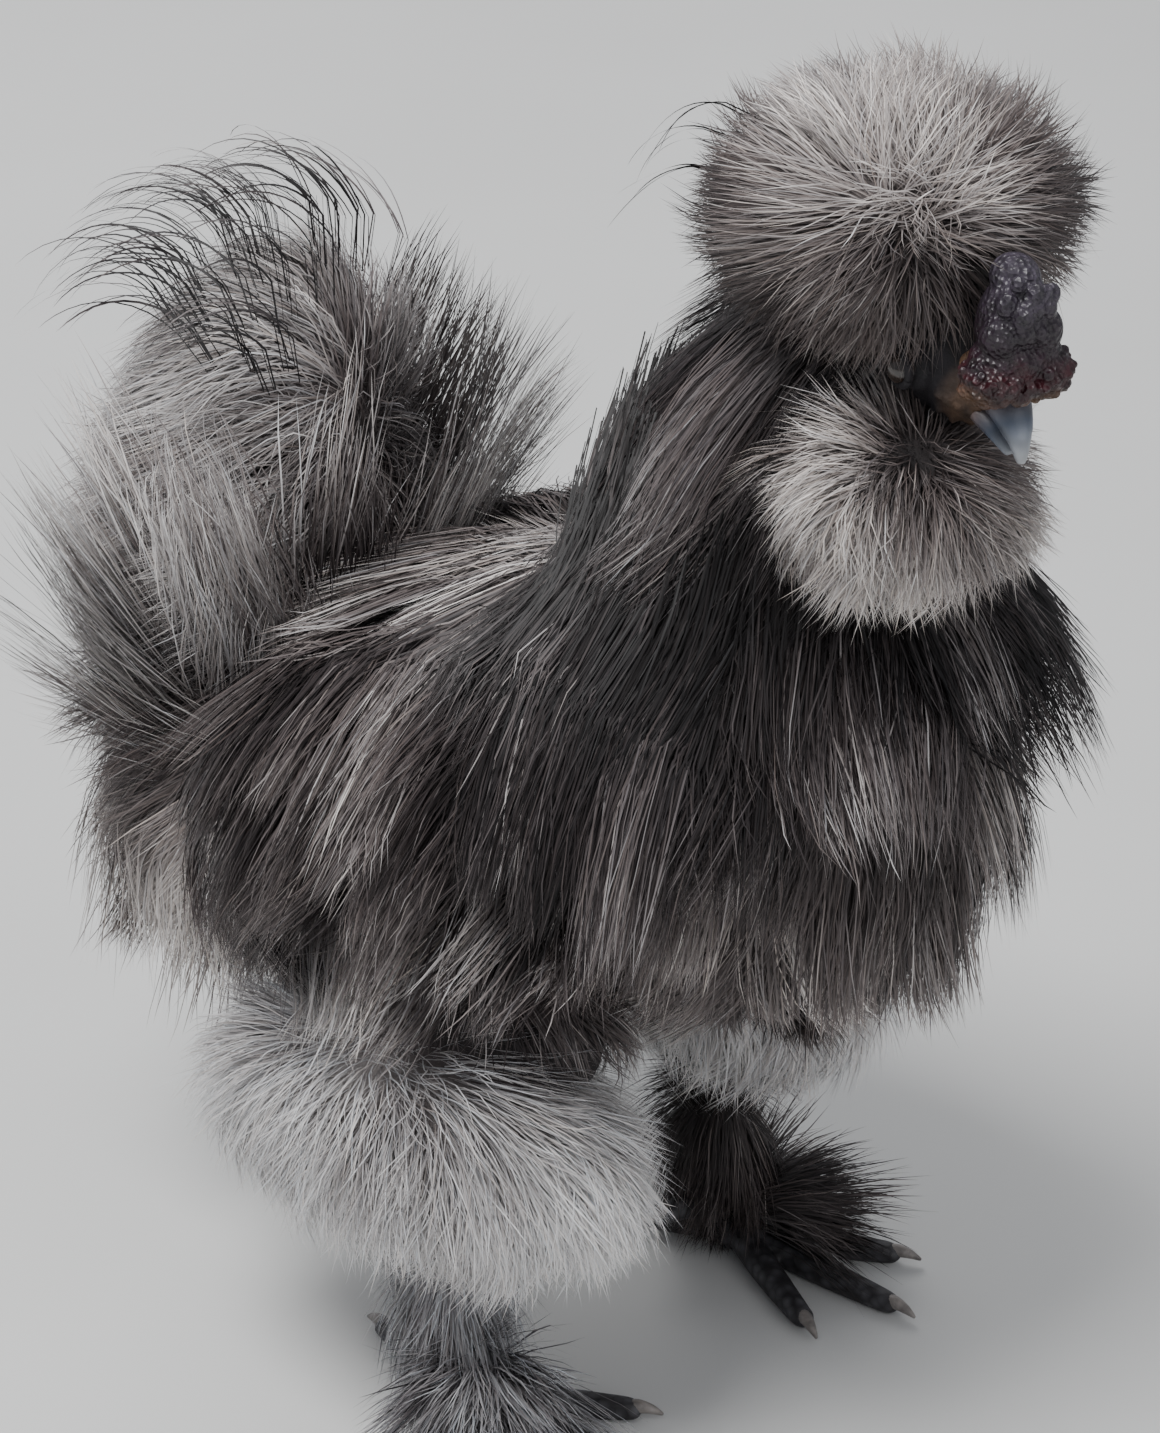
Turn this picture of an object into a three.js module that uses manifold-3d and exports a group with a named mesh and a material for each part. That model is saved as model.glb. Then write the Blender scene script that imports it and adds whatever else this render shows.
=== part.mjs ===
// A bearded silkie cockerel, standing still, at life size.
// Millimetres. +X is the way the bird faces, +Y its left, +Z up, and the floor is at Z 0.
// The bird is laid out round the point on the floor between its feet. At the end the whole group is
// moved along the floor, so that the origin is the middle of its box.
//
// Each feathered part is a core with locks on it. A form is the ellipsoid that the tips of the coat
// reach. The core lies under it by a share of the coat's depth, and each lock runs from inside the
// core out to the form, along the lie of the feathers away from the form's pole.
import * as THREE from "three";
import { mergeVertices } from "three/addons/utils/BufferGeometryUtils.js";
import Module from "manifold-3d";

const wasm = await Module();
wasm.setup();
const { Manifold, Mesh: SolidMesh } = wasm;

// Driving sizes

const GAP = 0.4; // between two parts that touch
const ROUGH = 1.1; // how far a lock's surface may move where it crosses others
const EVEN = 0.24; // edges that matter less than this are smoothed away
const SINK = 4.5; // how deep a lock's root goes into its core
const HEAD_AT = [104, -10, 316]; // middle of the skull
const HEAD_YAW = -30; // the head looks to its right
const HEAD_PITCH = 18; // and a little down
const EYE_RADIUS = 4.2;
const RIGHT_FOOT_AT = [5, -56]; // under the shank
const LEFT_FOOT_AT = [20, 46];
const HOCK_HEIGHT = 70;
const SHANK_RADIUS = 5.4;
const TOE_RADIUS = 4.2;

const rad = THREE.MathUtils.degToRad;
const v3 = (p) => new THREE.Vector3(...p);

// Repeatable random numbers between -1 and 1
function randomFrom(seed) {
  let state = seed;
  return () => {
    state = (state * 1664525 + 1013904223) >>> 0;
    return state / 2147483648 - 1;
  };
}

// Solids

function solidOf(geometry) {
  const bare = geometry.index ? geometry.toNonIndexed() : geometry.clone();
  bare.deleteAttribute("normal");
  bare.deleteAttribute("uv");
  const merged = mergeVertices(bare, 1e-4);
  const made = new Manifold(
    new SolidMesh({
      numProp: 3,
      vertProperties: merged.attributes.position.array,
      triVerts: new Uint32Array(merged.index.array),
    }),
  );
  return made;
}

function geometryOf(solid) {
  const mesh = solid.getMesh();
  const positions = new Float32Array(mesh.numVert * 3);
  for (let i = 0; i < mesh.numVert; i++) {
    for (let k = 0; k < 3; k++) {
      positions[3 * i + k] = mesh.vertProperties[i * mesh.numProp + k];
    }
  }
  const geometry = new THREE.BufferGeometry();
  geometry.setAttribute("position", new THREE.BufferAttribute(positions, 3));
  geometry.setIndex(new THREE.BufferAttribute(mesh.triVerts.slice(), 1));
  geometry.computeVertexNormals();
  return geometry;
}

// The largest closed surface of a solid, so without loose bits and sealed hollows.
function largestOf(solid) {
  const mesh = solid.getMesh();
  const count = mesh.triVerts.length / 3;
  const parent = Array.from({ length: mesh.numVert }, (_, i) => i);
  const rootOf = (i) => {
    let at = i;
    while (parent[at] !== at) {
      parent[at] = parent[parent[at]];
      at = parent[at];
    }
    return at;
  };
  for (let t = 0; t < count; t++) {
    const [i, j, k] = mesh.triVerts.slice(3 * t, 3 * t + 3);
    parent[rootOf(i)] = rootOf(j);
    parent[rootOf(j)] = rootOf(k);
  }
  const shells = new Map();
  for (let t = 0; t < count; t++) {
    const shell = rootOf(mesh.triVerts[3 * t]);
    if (!shells.has(shell)) {
      shells.set(shell, []);
    }
    shells.get(shell).push(t);
  }
  const largest = [...shells.values()].reduce((best, next) => (next.length > best.length ? next : best));
  const triVerts = new Uint32Array(largest.flatMap((t) => [...mesh.triVerts.slice(3 * t, 3 * t + 3)]));
  const used = [...new Set(triVerts)];
  const place = new Map(used.map((vertex, i) => [vertex, i]));
  const vertProperties = new Float32Array(
    used.flatMap((vertex) => {
      const start = mesh.numProp * vertex;
      return [...mesh.vertProperties.slice(start, start + 3)];
    }),
  );
  const renumbered = triVerts.map((vertex) => place.get(vertex));
  const kept = new SolidMesh({ numProp: 3, vertProperties, triVerts: renumbered });
  return new Manifold(kept);
}

// Forms

// turn is yaw, pitch (nose down) and roll in degrees.
function form(centre, radii, turn = [0, 0, 0]) {
  const [yaw, pitch, roll] = turn.map(rad);
  const turned = new THREE.Matrix4()
    .makeRotationZ(yaw)
    .multiply(new THREE.Matrix4().makeRotationY(pitch))
    .multiply(new THREE.Matrix4().makeRotationX(roll));
  return { centre: v3(centre), radii: v3(radii), turned };
}

// A point of a form, at a depth in millimetres under the tips. unit is a direction in the form's round shape.
function pointOn(f, unit, depth) {
  const sized = new THREE.Vector3(
    unit.x * (f.radii.x - depth),
    unit.y * (f.radii.y - depth),
    unit.z * (f.radii.z - depth),
  );
  return sized.applyMatrix4(f.turned).add(f.centre);
}

function normalOn(f, unit) {
  const slope = new THREE.Vector3(
    unit.x / f.radii.x,
    unit.y / f.radii.y,
    unit.z / f.radii.z,
  );
  return slope.applyMatrix4(f.turned).normalize();
}

function ellipsoid(f, depth, grow, round = 18, rings = 10) {
  const size = new THREE.Matrix4().makeScale(
    f.radii.x - depth + grow,
    f.radii.y - depth + grow,
    f.radii.z - depth + grow,
  );
  const stood = new THREE.Matrix4().makeRotationX(Math.PI / 2);
  const geometry = new THREE.SphereGeometry(1, round, rings)
    .applyMatrix4(stood)
    .applyMatrix4(size)
    .applyMatrix4(f.turned);
  geometry.translate(f.centre.x, f.centre.y, f.centre.z);
  return solidOf(geometry);
}

// Rings of points along a path, closed by a point at each end. Each ring has the same number of points.
function skinOver(rings, first, last) {
  const sides = rings[0].length;
  const points = [first, ...rings.flat(), last];
  const end = points.length - 1;
  const faces = [];
  for (let k = 0; k < sides; k++) {
    const next = (k + 1) % sides;
    faces.push(0, 1 + next, 1 + k);
    for (let i = 0; i < rings.length - 1; i++) {
      const a = 1 + i * sides;
      const b = a + sides;
      faces.push(a + k, a + next, b + next, a + k, b + next, b + k);
    }
    const a = 1 + (rings.length - 1) * sides;
    faces.push(end, a + k, a + next);
  }
  const geometry = new THREE.BufferGeometry();
  const flat = new Float32Array(points.flatMap((p) => [p.x, p.y, p.z]));
  geometry.setAttribute("position", new THREE.BufferAttribute(flat, 3));
  geometry.setIndex(faces);
  return solidOf(geometry);
}

// A tapered round limb through points, with a radius at each. The second radius, if given, is its height.
function limb(path, radii, grow, sides = 10) {
  const points = path.map(v3);
  const rings = points.map((p, i) => {
    const along = points[Math.min(i + 1, points.length - 1)]
      .clone()
      .sub(points[Math.max(i - 1, 0)])
      .normalize();
    const helper = Math.abs(along.z) > 0.9 ? [1, 0, 0] : [0, 0, 1];
    const side = new THREE.Vector3().crossVectors(v3(helper), along).normalize();
    const up = new THREE.Vector3().crossVectors(along, side);
    const [wide, tall] = [radii[i]].flat().length > 1 ? radii[i] : [radii[i], radii[i]];
    return Array.from({ length: sides }, (_, k) => {
      const a = (2 * Math.PI * (k + 0.5)) / sides;
      return p
        .clone()
        .addScaledVector(side, Math.cos(a) * (wide + grow))
        .addScaledVector(up, Math.sin(a) * (tall + grow));
    });
  });
  const reach = (i, j) => {
    const r = [radii[i]].flat();
    const out = points[i].clone().sub(points[j]).normalize();
    return points[i].clone().addScaledVector(out, Math.min(...r) * 0.6 + grow);
  };
  const last = points.length - 1;
  return skinOver(rings, reach(0, 1), reach(last, last - 1));
}


// Locks

// One flat, tapered lock with a ridge along its upper side. path is its middle line, ups the outward
// direction at each point, and the last point of the path is its tip.
function lock(path, ups, width, thick) {
  const shares = [0.75, 1, 0.85, 0.6];
  const count = path.length - 1;
  const rings = [];
  for (let i = 0; i < count; i++) {
    const along = path[i + 1].clone().sub(path[Math.max(i - 1, 0)]).normalize();
    const side = new THREE.Vector3().crossVectors(along, ups[i]).normalize();
    const up = new THREE.Vector3().crossVectors(side, along).normalize();
    const share = shares[Math.round((i * (shares.length - 1)) / (count - 1))];
    const half = (share * width) / 2;
    rings.push([
      path[i].clone().addScaledVector(side, half),
      path[i].clone().addScaledVector(side, -half),
      path[i].clone().addScaledVector(up, thick * (0.4 + 0.6 * share)),
    ]);
  }
  const back = path[0].clone().sub(path[1]).normalize();
  const root = path[0].clone().addScaledVector(back, 1);
  return skinOver(rings, root, path[count]);
}

// Moves a point out of a form, if it is inside, to a height above the form's tips.
function pushedOut(point, f, height) {
  const local = point.clone().sub(f.centre);
  local.applyMatrix4(f.turned.clone().transpose());
  const unit = new THREE.Vector3(
    local.x / (f.radii.x + height),
    local.y / (f.radii.y + height),
    local.z / (f.radii.z + height),
  );
  const share = unit.length();
  if (share >= 1) {
    return point;
  }
  local.divideScalar(Math.max(share, 0.05));
  return local.applyMatrix4(f.turned).add(f.centre);
}

function inside(point, f, height) {
  return !pushedOut(point, f, height).equals(point);
}

// Locks all over a form, in rows round its pole, each lying away from the pole.
// rows: [angle from the pole in degrees, how many]. keep says which roots are used.
function combed(f, o) {
  const random = randomFrom(o.seed);
  const pole = v3(o.pole).applyMatrix4(f.turned.clone().transpose()).normalize();
  const helper = Math.abs(pole.z) > 0.9 ? v3([1, 0, 0]) : v3([0, 0, 1]);
  const a = new THREE.Vector3().crossVectors(helper, pole).normalize();
  const b = new THREE.Vector3().crossVectors(pole, a);
  const middle = (f.radii.x + f.radii.y + f.radii.z) / 3;
  const locks = [];
  o.rows.forEach(([angle, count], row) => {
    for (let k = 0; k < count; k++) {
      const turn = (2 * Math.PI * (k + 0.5 * (row % 2) + 0.22 * random())) / count;
      const start = rad(angle + 4 * random());
      const length = o.length * (1 + 0.14 * random());
      const width = o.width * (1 + 0.16 * random());
      const reach = -0.2 + 1.4 * random();
      const swing = 0.16 * random();
      const path = [];
      const ups = [];
      const stations = [0, 0.38, 0.74, 1];
      for (const t of stations) {
        const theta = start + (t * length) / middle;
        const phi = turn + swing * t * t;
        const unit = pole
          .clone()
          .multiplyScalar(Math.cos(theta))
          .addScaledVector(a, Math.sin(theta) * Math.cos(phi))
          .addScaledVector(b, Math.sin(theta) * Math.sin(phi));
        const depth = (o.core + SINK) * (1 - t) ** 0.8 + reach * t;
        path.push(pointOn(f, unit, depth));
        ups.push(normalOn(f, unit));
      }
      if (o.keep(path[2], path[3])) {
        locks.push(lock(path, ups, width, o.thick));
      }
    }
  });
  return locks;
}

// One lock that starts at a point, heads along aim, is bent down by droop, and lies over other forms.
function draped(start, aim, length, width, thick, over, droop, steps = 4) {
  const path = [start.clone()];
  const ups = [];
  const heading = aim.clone().normalize();
  for (let i = 0; i < steps; i++) {
    const from = path[i];
    heading.z -= droop / steps;
    heading.normalize();
    let next = from.clone().addScaledVector(heading, length / steps);
    for (const [f, height] of over) {
      next = pushedOut(next, f, height);
    }
    const went = next.clone().sub(from).normalize();
    heading.lerp(went, 0.5).normalize();
    path.push(next);
  }
  const middle = over[0][0].centre;
  for (let i = 0; i <= steps; i++) {
    ups.push(path[i].clone().sub(middle).normalize());
  }
  return lock(path, ups, width, thick);
}

// The outer forms

const crestForm = form([92, -10, 341], [45, 45, 35], [-25, 0, 0]);
const beardForm = form([106, -24, 283], [32, 35, 27], [-25, 20, 0]);
const neckForm = form([62, -3, 262], [48, 48, 80], [0, 24, 0]);
const torsoForm = form([2, 0, 168], [104, 68, 66], [0, -10, 0]);
const breastForm = form([71, 0, 192], [55, 60, 73]);
const rearForm = form([-92, -2, 148], [66, 58, 60], [0, -12, 0]);
const tailForm = form([-98, -1, 216], [52, 50, 84], [0, 15, 0]);
const thighRightForm = form([-8, -58, 88], [72, 38, 41]);
const thighLeftForm = form([8, 54, 88], [58, 36, 40]);
const hipRight = form([-4, -44, 116], [48, 28, 34]);
const hipLeft = form([6, 42, 116], [44, 28, 34]);
const wingRightForm = form([2, -62, 186], [84, 15, 42], [0, -22, 0]);
const wingLeftForm = form([2, 62, 186], [84, 15, 42], [0, -22, 0]);

// How far the cores lie under the tips
const CREST_COAT = 17;
const BEARD_COAT = 11;
const NECK_COAT = 15;
const TORSO_COAT = 11;
const BREAST_COAT = 13;
const REAR_COAT = 16;
const TAIL_COAT = 20;
const THIGH_COAT = 14;
const WING_COAT = 6;

// Head parts. The head's own frame has +X to the beak, and its origin is the middle of the skull.

const headFrame = new THREE.Matrix4()
  .makeTranslation(...HEAD_AT)
  .multiply(new THREE.Matrix4().makeRotationZ(rad(HEAD_YAW)))
  .multiply(new THREE.Matrix4().makeRotationY(rad(HEAD_PITCH)));

function onHead(point) {
  return v3(point).applyMatrix4(headFrame).toArray();
}

function headBlob(point, radii, grow, round = 12, rings = 7) {
  return ellipsoid(form(onHead(point), radii, [HEAD_YAW, HEAD_PITCH, 0]), 0, grow, round, rings);
}

function eye(side, grow) {
  const at = onHead([13, side * 14.6, 1]);
  return ellipsoid(form(at, [EYE_RADIUS, EYE_RADIUS, EYE_RADIUS]), 0, grow, 10, 7);
}

// A walnut comb: a narrow wrinkled top, a crease across, and two warty lobes beneath.
function comb(grow) {
  const random = randomFrom(11);
  const pieces = [
    headBlob([27, 0, 22], [8, 8, 12], grow),
    headBlob([31, 0, 15], [7, 11, 7], grow),
    headBlob([24, 0, 31], [6, 5.5, 5], grow),
  ];
  for (const side of [-1, 1]) {
    pieces.push(headBlob([33, side * 6.5, 12], [6, 6.5, 5.4], grow, 10, 6));
    pieces.push(headBlob([31, side * 5, 21], [4.6, 4.6, 6], grow, 8, 5));
  }
  for (let k = 0; k < 8; k++) {
    const turn = ((k - 3.5) / 3.5) * 1.25;
    const size = 2.6 + 0.5 * random();
    const at = [31 + 7.4 * Math.cos(turn), 12 * Math.sin(turn), 11.5 + 3.2 * random()];
    pieces.push(headBlob(at, [size, size, size], grow, 6, 4));
  }
  for (let k = 0; k < 5; k++) {
    const side = 4.6 * random();
    const height = 21 + 2 * k;
    const size = 2.6 + 0.4 * random();
    const front = 27 + 7.2 * Math.sqrt(Math.max(0.1, 1 - ((height - 22) / 14) ** 2));
    pieces.push(headBlob([front, side, height], [size, size, size], grow, 6, 4));
  }
  const whole = Manifold.union(pieces);
  if (grow > 0) {
    return whole;
  }
  const crease = [];
  for (let k = 0; k < 8; k++) {
    const turn = ((k - 3.5) / 3.5) * 1.3;
    crease.push([30.5 + 9 * Math.cos(turn), 11.5 * Math.sin(turn), 17.6]);
  }
  return whole.subtract(limb(crease.map(onHead), crease.map(() => 0.9), 0, 4));
}

function beakUpper(grow) {
  const path = [[20, 0, 4], [29, 0, 4.5], [35, 0, 3], [40, 0, -0.5], [43, 0, -5]];
  const radii = [[7, 6], [6.2, 5], [4.8, 3.8], [3, 2.6], [1.1, 1.1]];
  const whole = limb(path.map(onHead), radii, grow, 10);
  if (grow > 0) {
    return whole;
  }
  const nostrils = [-1, 1].map((side) =>
    headBlob([34.5, side * 4.6, 4], [2, 1.3, 0.9], 0, 8, 6),
  );
  return whole.subtract(Manifold.union(nostrils));
}

function beakLower(grow) {
  const path = [[20, 0, -3], [29, 0, -3.2], [34, 0, -4], [38.4, 0, -6]];
  const radii = [[5.6, 3], [4.8, 2.8], [3.4, 2.2], [1.5, 1.1]];
  return limb(path.map(onHead), radii, grow, 10);
}

function head(grow) {
  const pieces = [
    headBlob([0, 0, 0], [24, 16.5, 17], grow, 12, 7),
    headBlob([16, 0, -1], [13, 11, 10], grow, 10, 6),
  ];
  for (const side of [-1, 1]) {
    pieces.push(headBlob([13, side * 12.6, 1], [6.4, 3.6, 5.6], grow, 10, 6));
    pieces.push(headBlob([4, side * 15, -8], [3.4, 2.2, 4.6], grow, 8, 5));
  }
  return Manifold.union(pieces);
}

// Legs

function shankPath(foot) {
  const [x, y] = foot;
  return [
    [x - 8, y * 0.98, HOCK_HEIGHT + 22],
    [x - 10, y, HOCK_HEIGHT],
    [x - 4, y, 34],
    [x, y, 9],
  ];
}

// Toes as [heading in degrees from straight ahead, length, height of its tip]
const toes = [
  [-24, 44, 0],
  [2, 52, 0],
  [30, 42, 0],
  [164, 38, 0],
  [120, 20, 13],
];

function toePath(foot, side, toe) {
  const [heading, length, lift] = toe;
  const turn = rad(-side * heading);
  const at = (share, z) => [
    foot[0] + Math.cos(turn) * length * share,
    foot[1] + Math.sin(turn) * length * share,
    z,
  ];
  return [at(0.06, 8), at(0.3, 4.6 + lift * 0.5), at(0.65, 3.4 + lift), at(1, 3 + lift)];
}

function aboveFloor(solid) {
  return solid.trimByPlane([0, 0, 1], 0);
}

function foot(at, side, grow) {
  const pieces = toes.map((toe) => {
    const radii = [TOE_RADIUS + 0.8, TOE_RADIUS + 0.2, TOE_RADIUS, TOE_RADIUS - 0.9];
    return limb(toePath(at, side, toe), radii, grow, 6);
  });
  const palm = form([at[0], at[1], 6.5], [9, 8, 7.5]);
  pieces.push(ellipsoid(palm, 0, grow, 10, 6));
  return aboveFloor(Manifold.union(pieces));
}

function claw(at, side, toe, grow) {
  const path = toePath(at, side, toe);
  const out = v3(path[3]).sub(v3(path[2])).normalize();
  const base = v3(path[3]);
  const points = [-1.5, 2.5, 6, 9].map((go, i) => {
    const next = base.clone().addScaledVector(out, go);
    next.z += [0.4, 1, 0.4, -0.9][i];
    return next.toArray();
  });
  return aboveFloor(limb(points, [2.1, 1.9, 1.3, 0.5], grow, 5));
}

// Feathered parts: each has its forms with how far the core lies under the tips, and its locks.

function clearOf(...forms) {
  return (middle, tip) =>
    forms.every(([f, height]) => !inside(tip, f, height) && !inside(middle, f, height));
}

// The room in front of the eyes and round the comb and beak that the crest's locks leave free
const faceOpening = form([136, -34, 312], [27, 24, 25], [-30, 20, 0]);

function crestLocks() {
  const crown = combed(crestForm, {
    seed: 22,
    pole: [0, 0, 1],
    rows: [[12, 5]],
    length: 11,
    width: 15,
    thick: 4,
    core: CREST_COAT,
    keep: () => true,
  });
  const round = combed(crestForm, {
    seed: 21,
    pole: [0.45, -0.3, 0.84],
    rows: [[26, 5], [52, 8], [80, 9], [108, 10]],
    length: 36,
    width: 21,
    thick: 4.6,
    core: CREST_COAT,
    keep: (middle, tip) => tip.z > 300 && !inside(tip, faceOpening, 0),
  });
  return [...crown, ...round];
}

function beardLocks() {
  return combed(beardForm, {
    seed: 31,
    pole: [0.55, -0.35, 0.75],
    rows: [[40, 5], [66, 8], [100, 9]],
    length: 30,
    width: 17,
    thick: 4,
    core: BEARD_COAT,
    keep: (middle, tip) => tip.z < 306,
  });
}

// The hackle: locks down the neck, and long ones that hang as a cape over the shoulders.
function neckLocks() {
  const random = randomFrom(41);
  const locks = combed(neckForm, {
    seed: 42,
    pole: [0.5, 0, 0.86],
    rows: [[50, 7], [80, 8]],
    length: 54,
    width: 22,
    thick: 4.6,
    core: NECK_COAT,
    keep: clearOf([crestForm, -9], [beardForm, -6]),
  });
  const over = [
    [torsoForm, 3.8],
    [breastForm, 3.8],
    [wingRightForm, 5],
    [wingLeftForm, 5],
  ];
  const count = 13;
  for (let k = 0; k < count; k++) {
    const phi = (2 * Math.PI * (k + 0.3 * random())) / count;
    const unit = v3([Math.cos(phi) * 0.96, Math.sin(phi) * 0.96, -0.28]);
    const start = pointOn(neckForm, unit, NECK_COAT + SINK);
    const aim = normalOn(neckForm, unit).multiplyScalar(0.75).add(v3([-0.25, 0, -0.75]));
    const length = 66 + 10 * random() + 12 * Math.abs(Math.sin(phi));
    locks.push(draped(start, aim, length, 21 + 2 * random(), 4, over, 0.7));
  }
  return locks;
}

// Long loose feathers laid along the folded wing, in rows that overlap like slates
function wingLocks(f, side) {
  const random = randomFrom(51);
  const locks = [];
  const rows = [[-0.78, 5], [-0.3, 6], [0.2, 6]];
  rows.forEach(([along, count], row) => {
    for (let k = 0; k < count; k++) {
      const up = 0.82 - (1.64 * (k + 0.5 + 0.2 * random())) / count;
      const out = Math.sqrt(Math.max(0.02, 1 - along * along - up * up * 0.6));
      const unit = v3([-along, side * out, up]).normalize();
      const start = pointOn(f, unit, WING_COAT + 2);
      const aim = v3([-1, side * 0.02, -0.5 - 0.35 * (0.8 - up) + 0.1 * random()]);
      const length = 58 + 9 * random() + 6 * row;
      locks.push(draped(start, aim, length, 23 + 3 * random(), 3.2, [[f, -1.5 - 0.8 * random()]], 0.25));
    }
  });
  return locks;
}

function thighLocks(f, side) {
  return combed(f, {
    seed: 61,
    pole: [0, side * 0.1, 1],
    rows: [[50, 7], [84, 9], [114, 8]],
    length: 42,
    width: 27,
    thick: 5,
    core: THIGH_COAT,
    keep: (middle, tip) => tip.z > 46 && !inside(tip, torsoForm, -8),
  });
}

function torsoLocks() {
  const sides = [
    [wingRightForm, -3],
    [wingLeftForm, -3],
    [thighRightForm, -12],
    [thighLeftForm, -12],
  ];
  const back = combed(torsoForm, {
    seed: 71,
    pole: [1, 0, 0.1],
    rows: [[68, 9], [100, 9]],
    length: 60,
    width: 31,
    thick: 5,
    core: TORSO_COAT,
    keep: clearOf(...sides, [neckForm, -10], [breastForm, -8], [rearForm, -10], [tailForm, -12]),
  });
  const breast = combed(breastForm, {
    seed: 72,
    pole: [0.35, 0, 0.94],
    rows: [[44, 6], [70, 8], [100, 9], [132, 6]],
    length: 54,
    width: 30,
    thick: 5,
    core: BREAST_COAT,
    keep: clearOf(...sides, [neckForm, -10], [torsoForm, -11]),
  });
  const rear = combed(rearForm, {
    seed: 73,
    pole: [0.9, 0, 0.44],
    rows: [[72, 8], [108, 9]],
    length: 60,
    width: 31,
    thick: 5.2,
    core: REAR_COAT,
    keep: clearOf(...sides, [torsoForm, -11], [tailForm, -14]),
  });
  return [...back, ...breast, ...rear];
}

// The tail rises from the saddle, arches over and hangs down behind.
function tailLocks() {
  return combed(tailForm, {
    seed: 81,
    pole: [0.86, 0, -0.5],
    rows: [[42, 7], [68, 10], [94, 11], [120, 10], [146, 6]],
    length: 58,
    width: 25,
    thick: 4.8,
    core: TAIL_COAT,
    keep: clearOf([torsoForm, -8], [rearForm, -14]),
  });
}

// The feathers down the outer side of the shank and over the outer toes
function shankLocks(at, side) {
  const random = randomFrom(91);
  const locks = [];
  for (const z of [40, 26]) {
    for (const turn of [-80, -20, 40]) {
      const heading = rad(side * (90 + turn + 9 * random()));
      const start = v3([at[0] - (z - 9) * 0.14, at[1], z]);
      const aim = v3([0.85 * Math.cos(heading), 0.85 * Math.sin(heading), -0.75]);
      const stop = form([at[0] - 4, at[1], z - 20], [7, 7, 34]);
      locks.push(draped(start, aim, 30, 15, 3.4, [[stop, 1]], 0.1, 4));
    }
  }
  return locks;
}

function shankBone(at, grow) {
  const radii = [SHANK_RADIUS + 2, SHANK_RADIUS + 1, SHANK_RADIUS, SHANK_RADIUS];
  return limb(shankPath(at), radii, grow, 10);
}

const coats = {
  crest: { forms: [[crestForm, CREST_COAT]], locks: crestLocks },
  beard: { forms: [[beardForm, BEARD_COAT]], locks: beardLocks },
  neck: { forms: [[neckForm, NECK_COAT]], locks: neckLocks },
  wing_right: { forms: [[wingRightForm, WING_COAT]], locks: () => wingLocks(wingRightForm, -1) },
  wing_left: { forms: [[wingLeftForm, WING_COAT]], locks: () => wingLocks(wingLeftForm, 1) },
  thigh_right: {
    forms: [[thighRightForm, THIGH_COAT], [hipRight, 6]],
    locks: () => thighLocks(thighRightForm, -1),
  },
  thigh_left: {
    forms: [[thighLeftForm, THIGH_COAT], [hipLeft, 6]],
    locks: () => thighLocks(thighLeftForm, 1),
  },
  torso: {
    forms: [[torsoForm, TORSO_COAT], [breastForm, BREAST_COAT], [rearForm, REAR_COAT]],
    locks: torsoLocks,
  },
  tail: { forms: [[tailForm, TAIL_COAT]], locks: tailLocks },
};

function coreOf(name, grow) {
  return Manifold.union(coats[name].forms.map(([f, coat]) => ellipsoid(f, coat, grow)));
}

// The space that a part's coat takes up, with the gap round it
function spaceOf(name) {
  return Manifold.union(coats[name].forms.map(([f]) => ellipsoid(f, -3, GAP)));
}

// A core and its locks, with cuts taken out of it all. The locks also stop where the coats in under
// begin, except inside room, a space that those coats have been cut back from.
function coated(name, under, cuts, room = []) {
  let locks = Manifold.union(coats[name].locks());
  for (const other of under) {
    const blocked = room.reduce((rest, space) => rest.subtract(space), spaceOf(other));
    locks = locks.subtract(blocked);
  }
  const whole = Manifold.union([coreOf(name, 0), locks]).asOriginal().simplify(ROUGH);
  return clear(whole, cuts);
}

function clear(solid, cuts) {
  return largestOf(cuts.reduce((rest, cut) => rest.subtract(cut), solid).asOriginal().simplify(EVEN));
}

// Copies of a solid moved a gap's width each way, to cut a part clear of it
function around(solid) {
  const moves = [[GAP, 0, 0], [-GAP, 0, 0], [0, GAP, 0], [0, -GAP, 0], [0, 0, GAP], [0, 0, -GAP]];
  return moves.map((move) => solid.translate(move));
}

// The parts. Each is cut clear of those that it meets.

const eyes = [eye(-1, GAP), eye(1, GAP)];
const headSpace = head(GAP);
const beakSpace = Manifold.union([beakUpper(GAP), beakLower(GAP)]);
const combSpace = comb(GAP).hull();
const face = [headSpace, beakSpace, combSpace, ...eyes];

const parts = {
  eye_right: eye(-1, 0),
  eye_left: eye(1, 0),
  head: clear(head(0), eyes),
  beak_upper: clear(beakUpper(0), [headSpace]),
  beak_lower: clear(beakLower(0), [headSpace, beakUpper(GAP)]),
  comb: clear(comb(0), [headSpace, beakSpace]),
  crest: coated("crest", [], face),
  beard: coated("beard", [], [...face, spaceOf("crest")]),
  neck: coated("neck", ["torso", "wing_right", "wing_left"], [...face, spaceOf("crest"), spaceOf("beard")]),
};

for (const side of ["right", "left"]) {
  const at = side === "right" ? RIGHT_FOOT_AT : LEFT_FOOT_AT;
  const sign = side === "right" ? -1 : 1;
  const wingName = `wing_${side}`;
  const thighName = `thigh_${side}`;
  const boneSpace = shankBone(at, GAP);
  const footSpace = foot(at, sign, GAP);
  parts[wingName] = coated(wingName, ["torso", thighName], around(parts.neck), [spaceOf(wingName)]);
  parts[thighName] = coated(thighName, ["torso"], [spaceOf(wingName), boneSpace]);
  const feathers = Manifold.union(shankLocks(at, sign))
    .subtract(spaceOf(thighName))
    .subtract(footSpace)
    .trimByPlane([0, 0, 1], 1.2);
  parts[`shank_${side}`] = clear(Manifold.union([shankBone(at, 0), feathers]), []);
  parts[`foot_${side}`] = clear(foot(at, sign, 0), [boneSpace]);
  toes.forEach((toe, i) => {
    parts[`claw_${side}_${i + 1}`] = clear(claw(at, sign, toe, 0), [footSpace]);
  });
}

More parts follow.
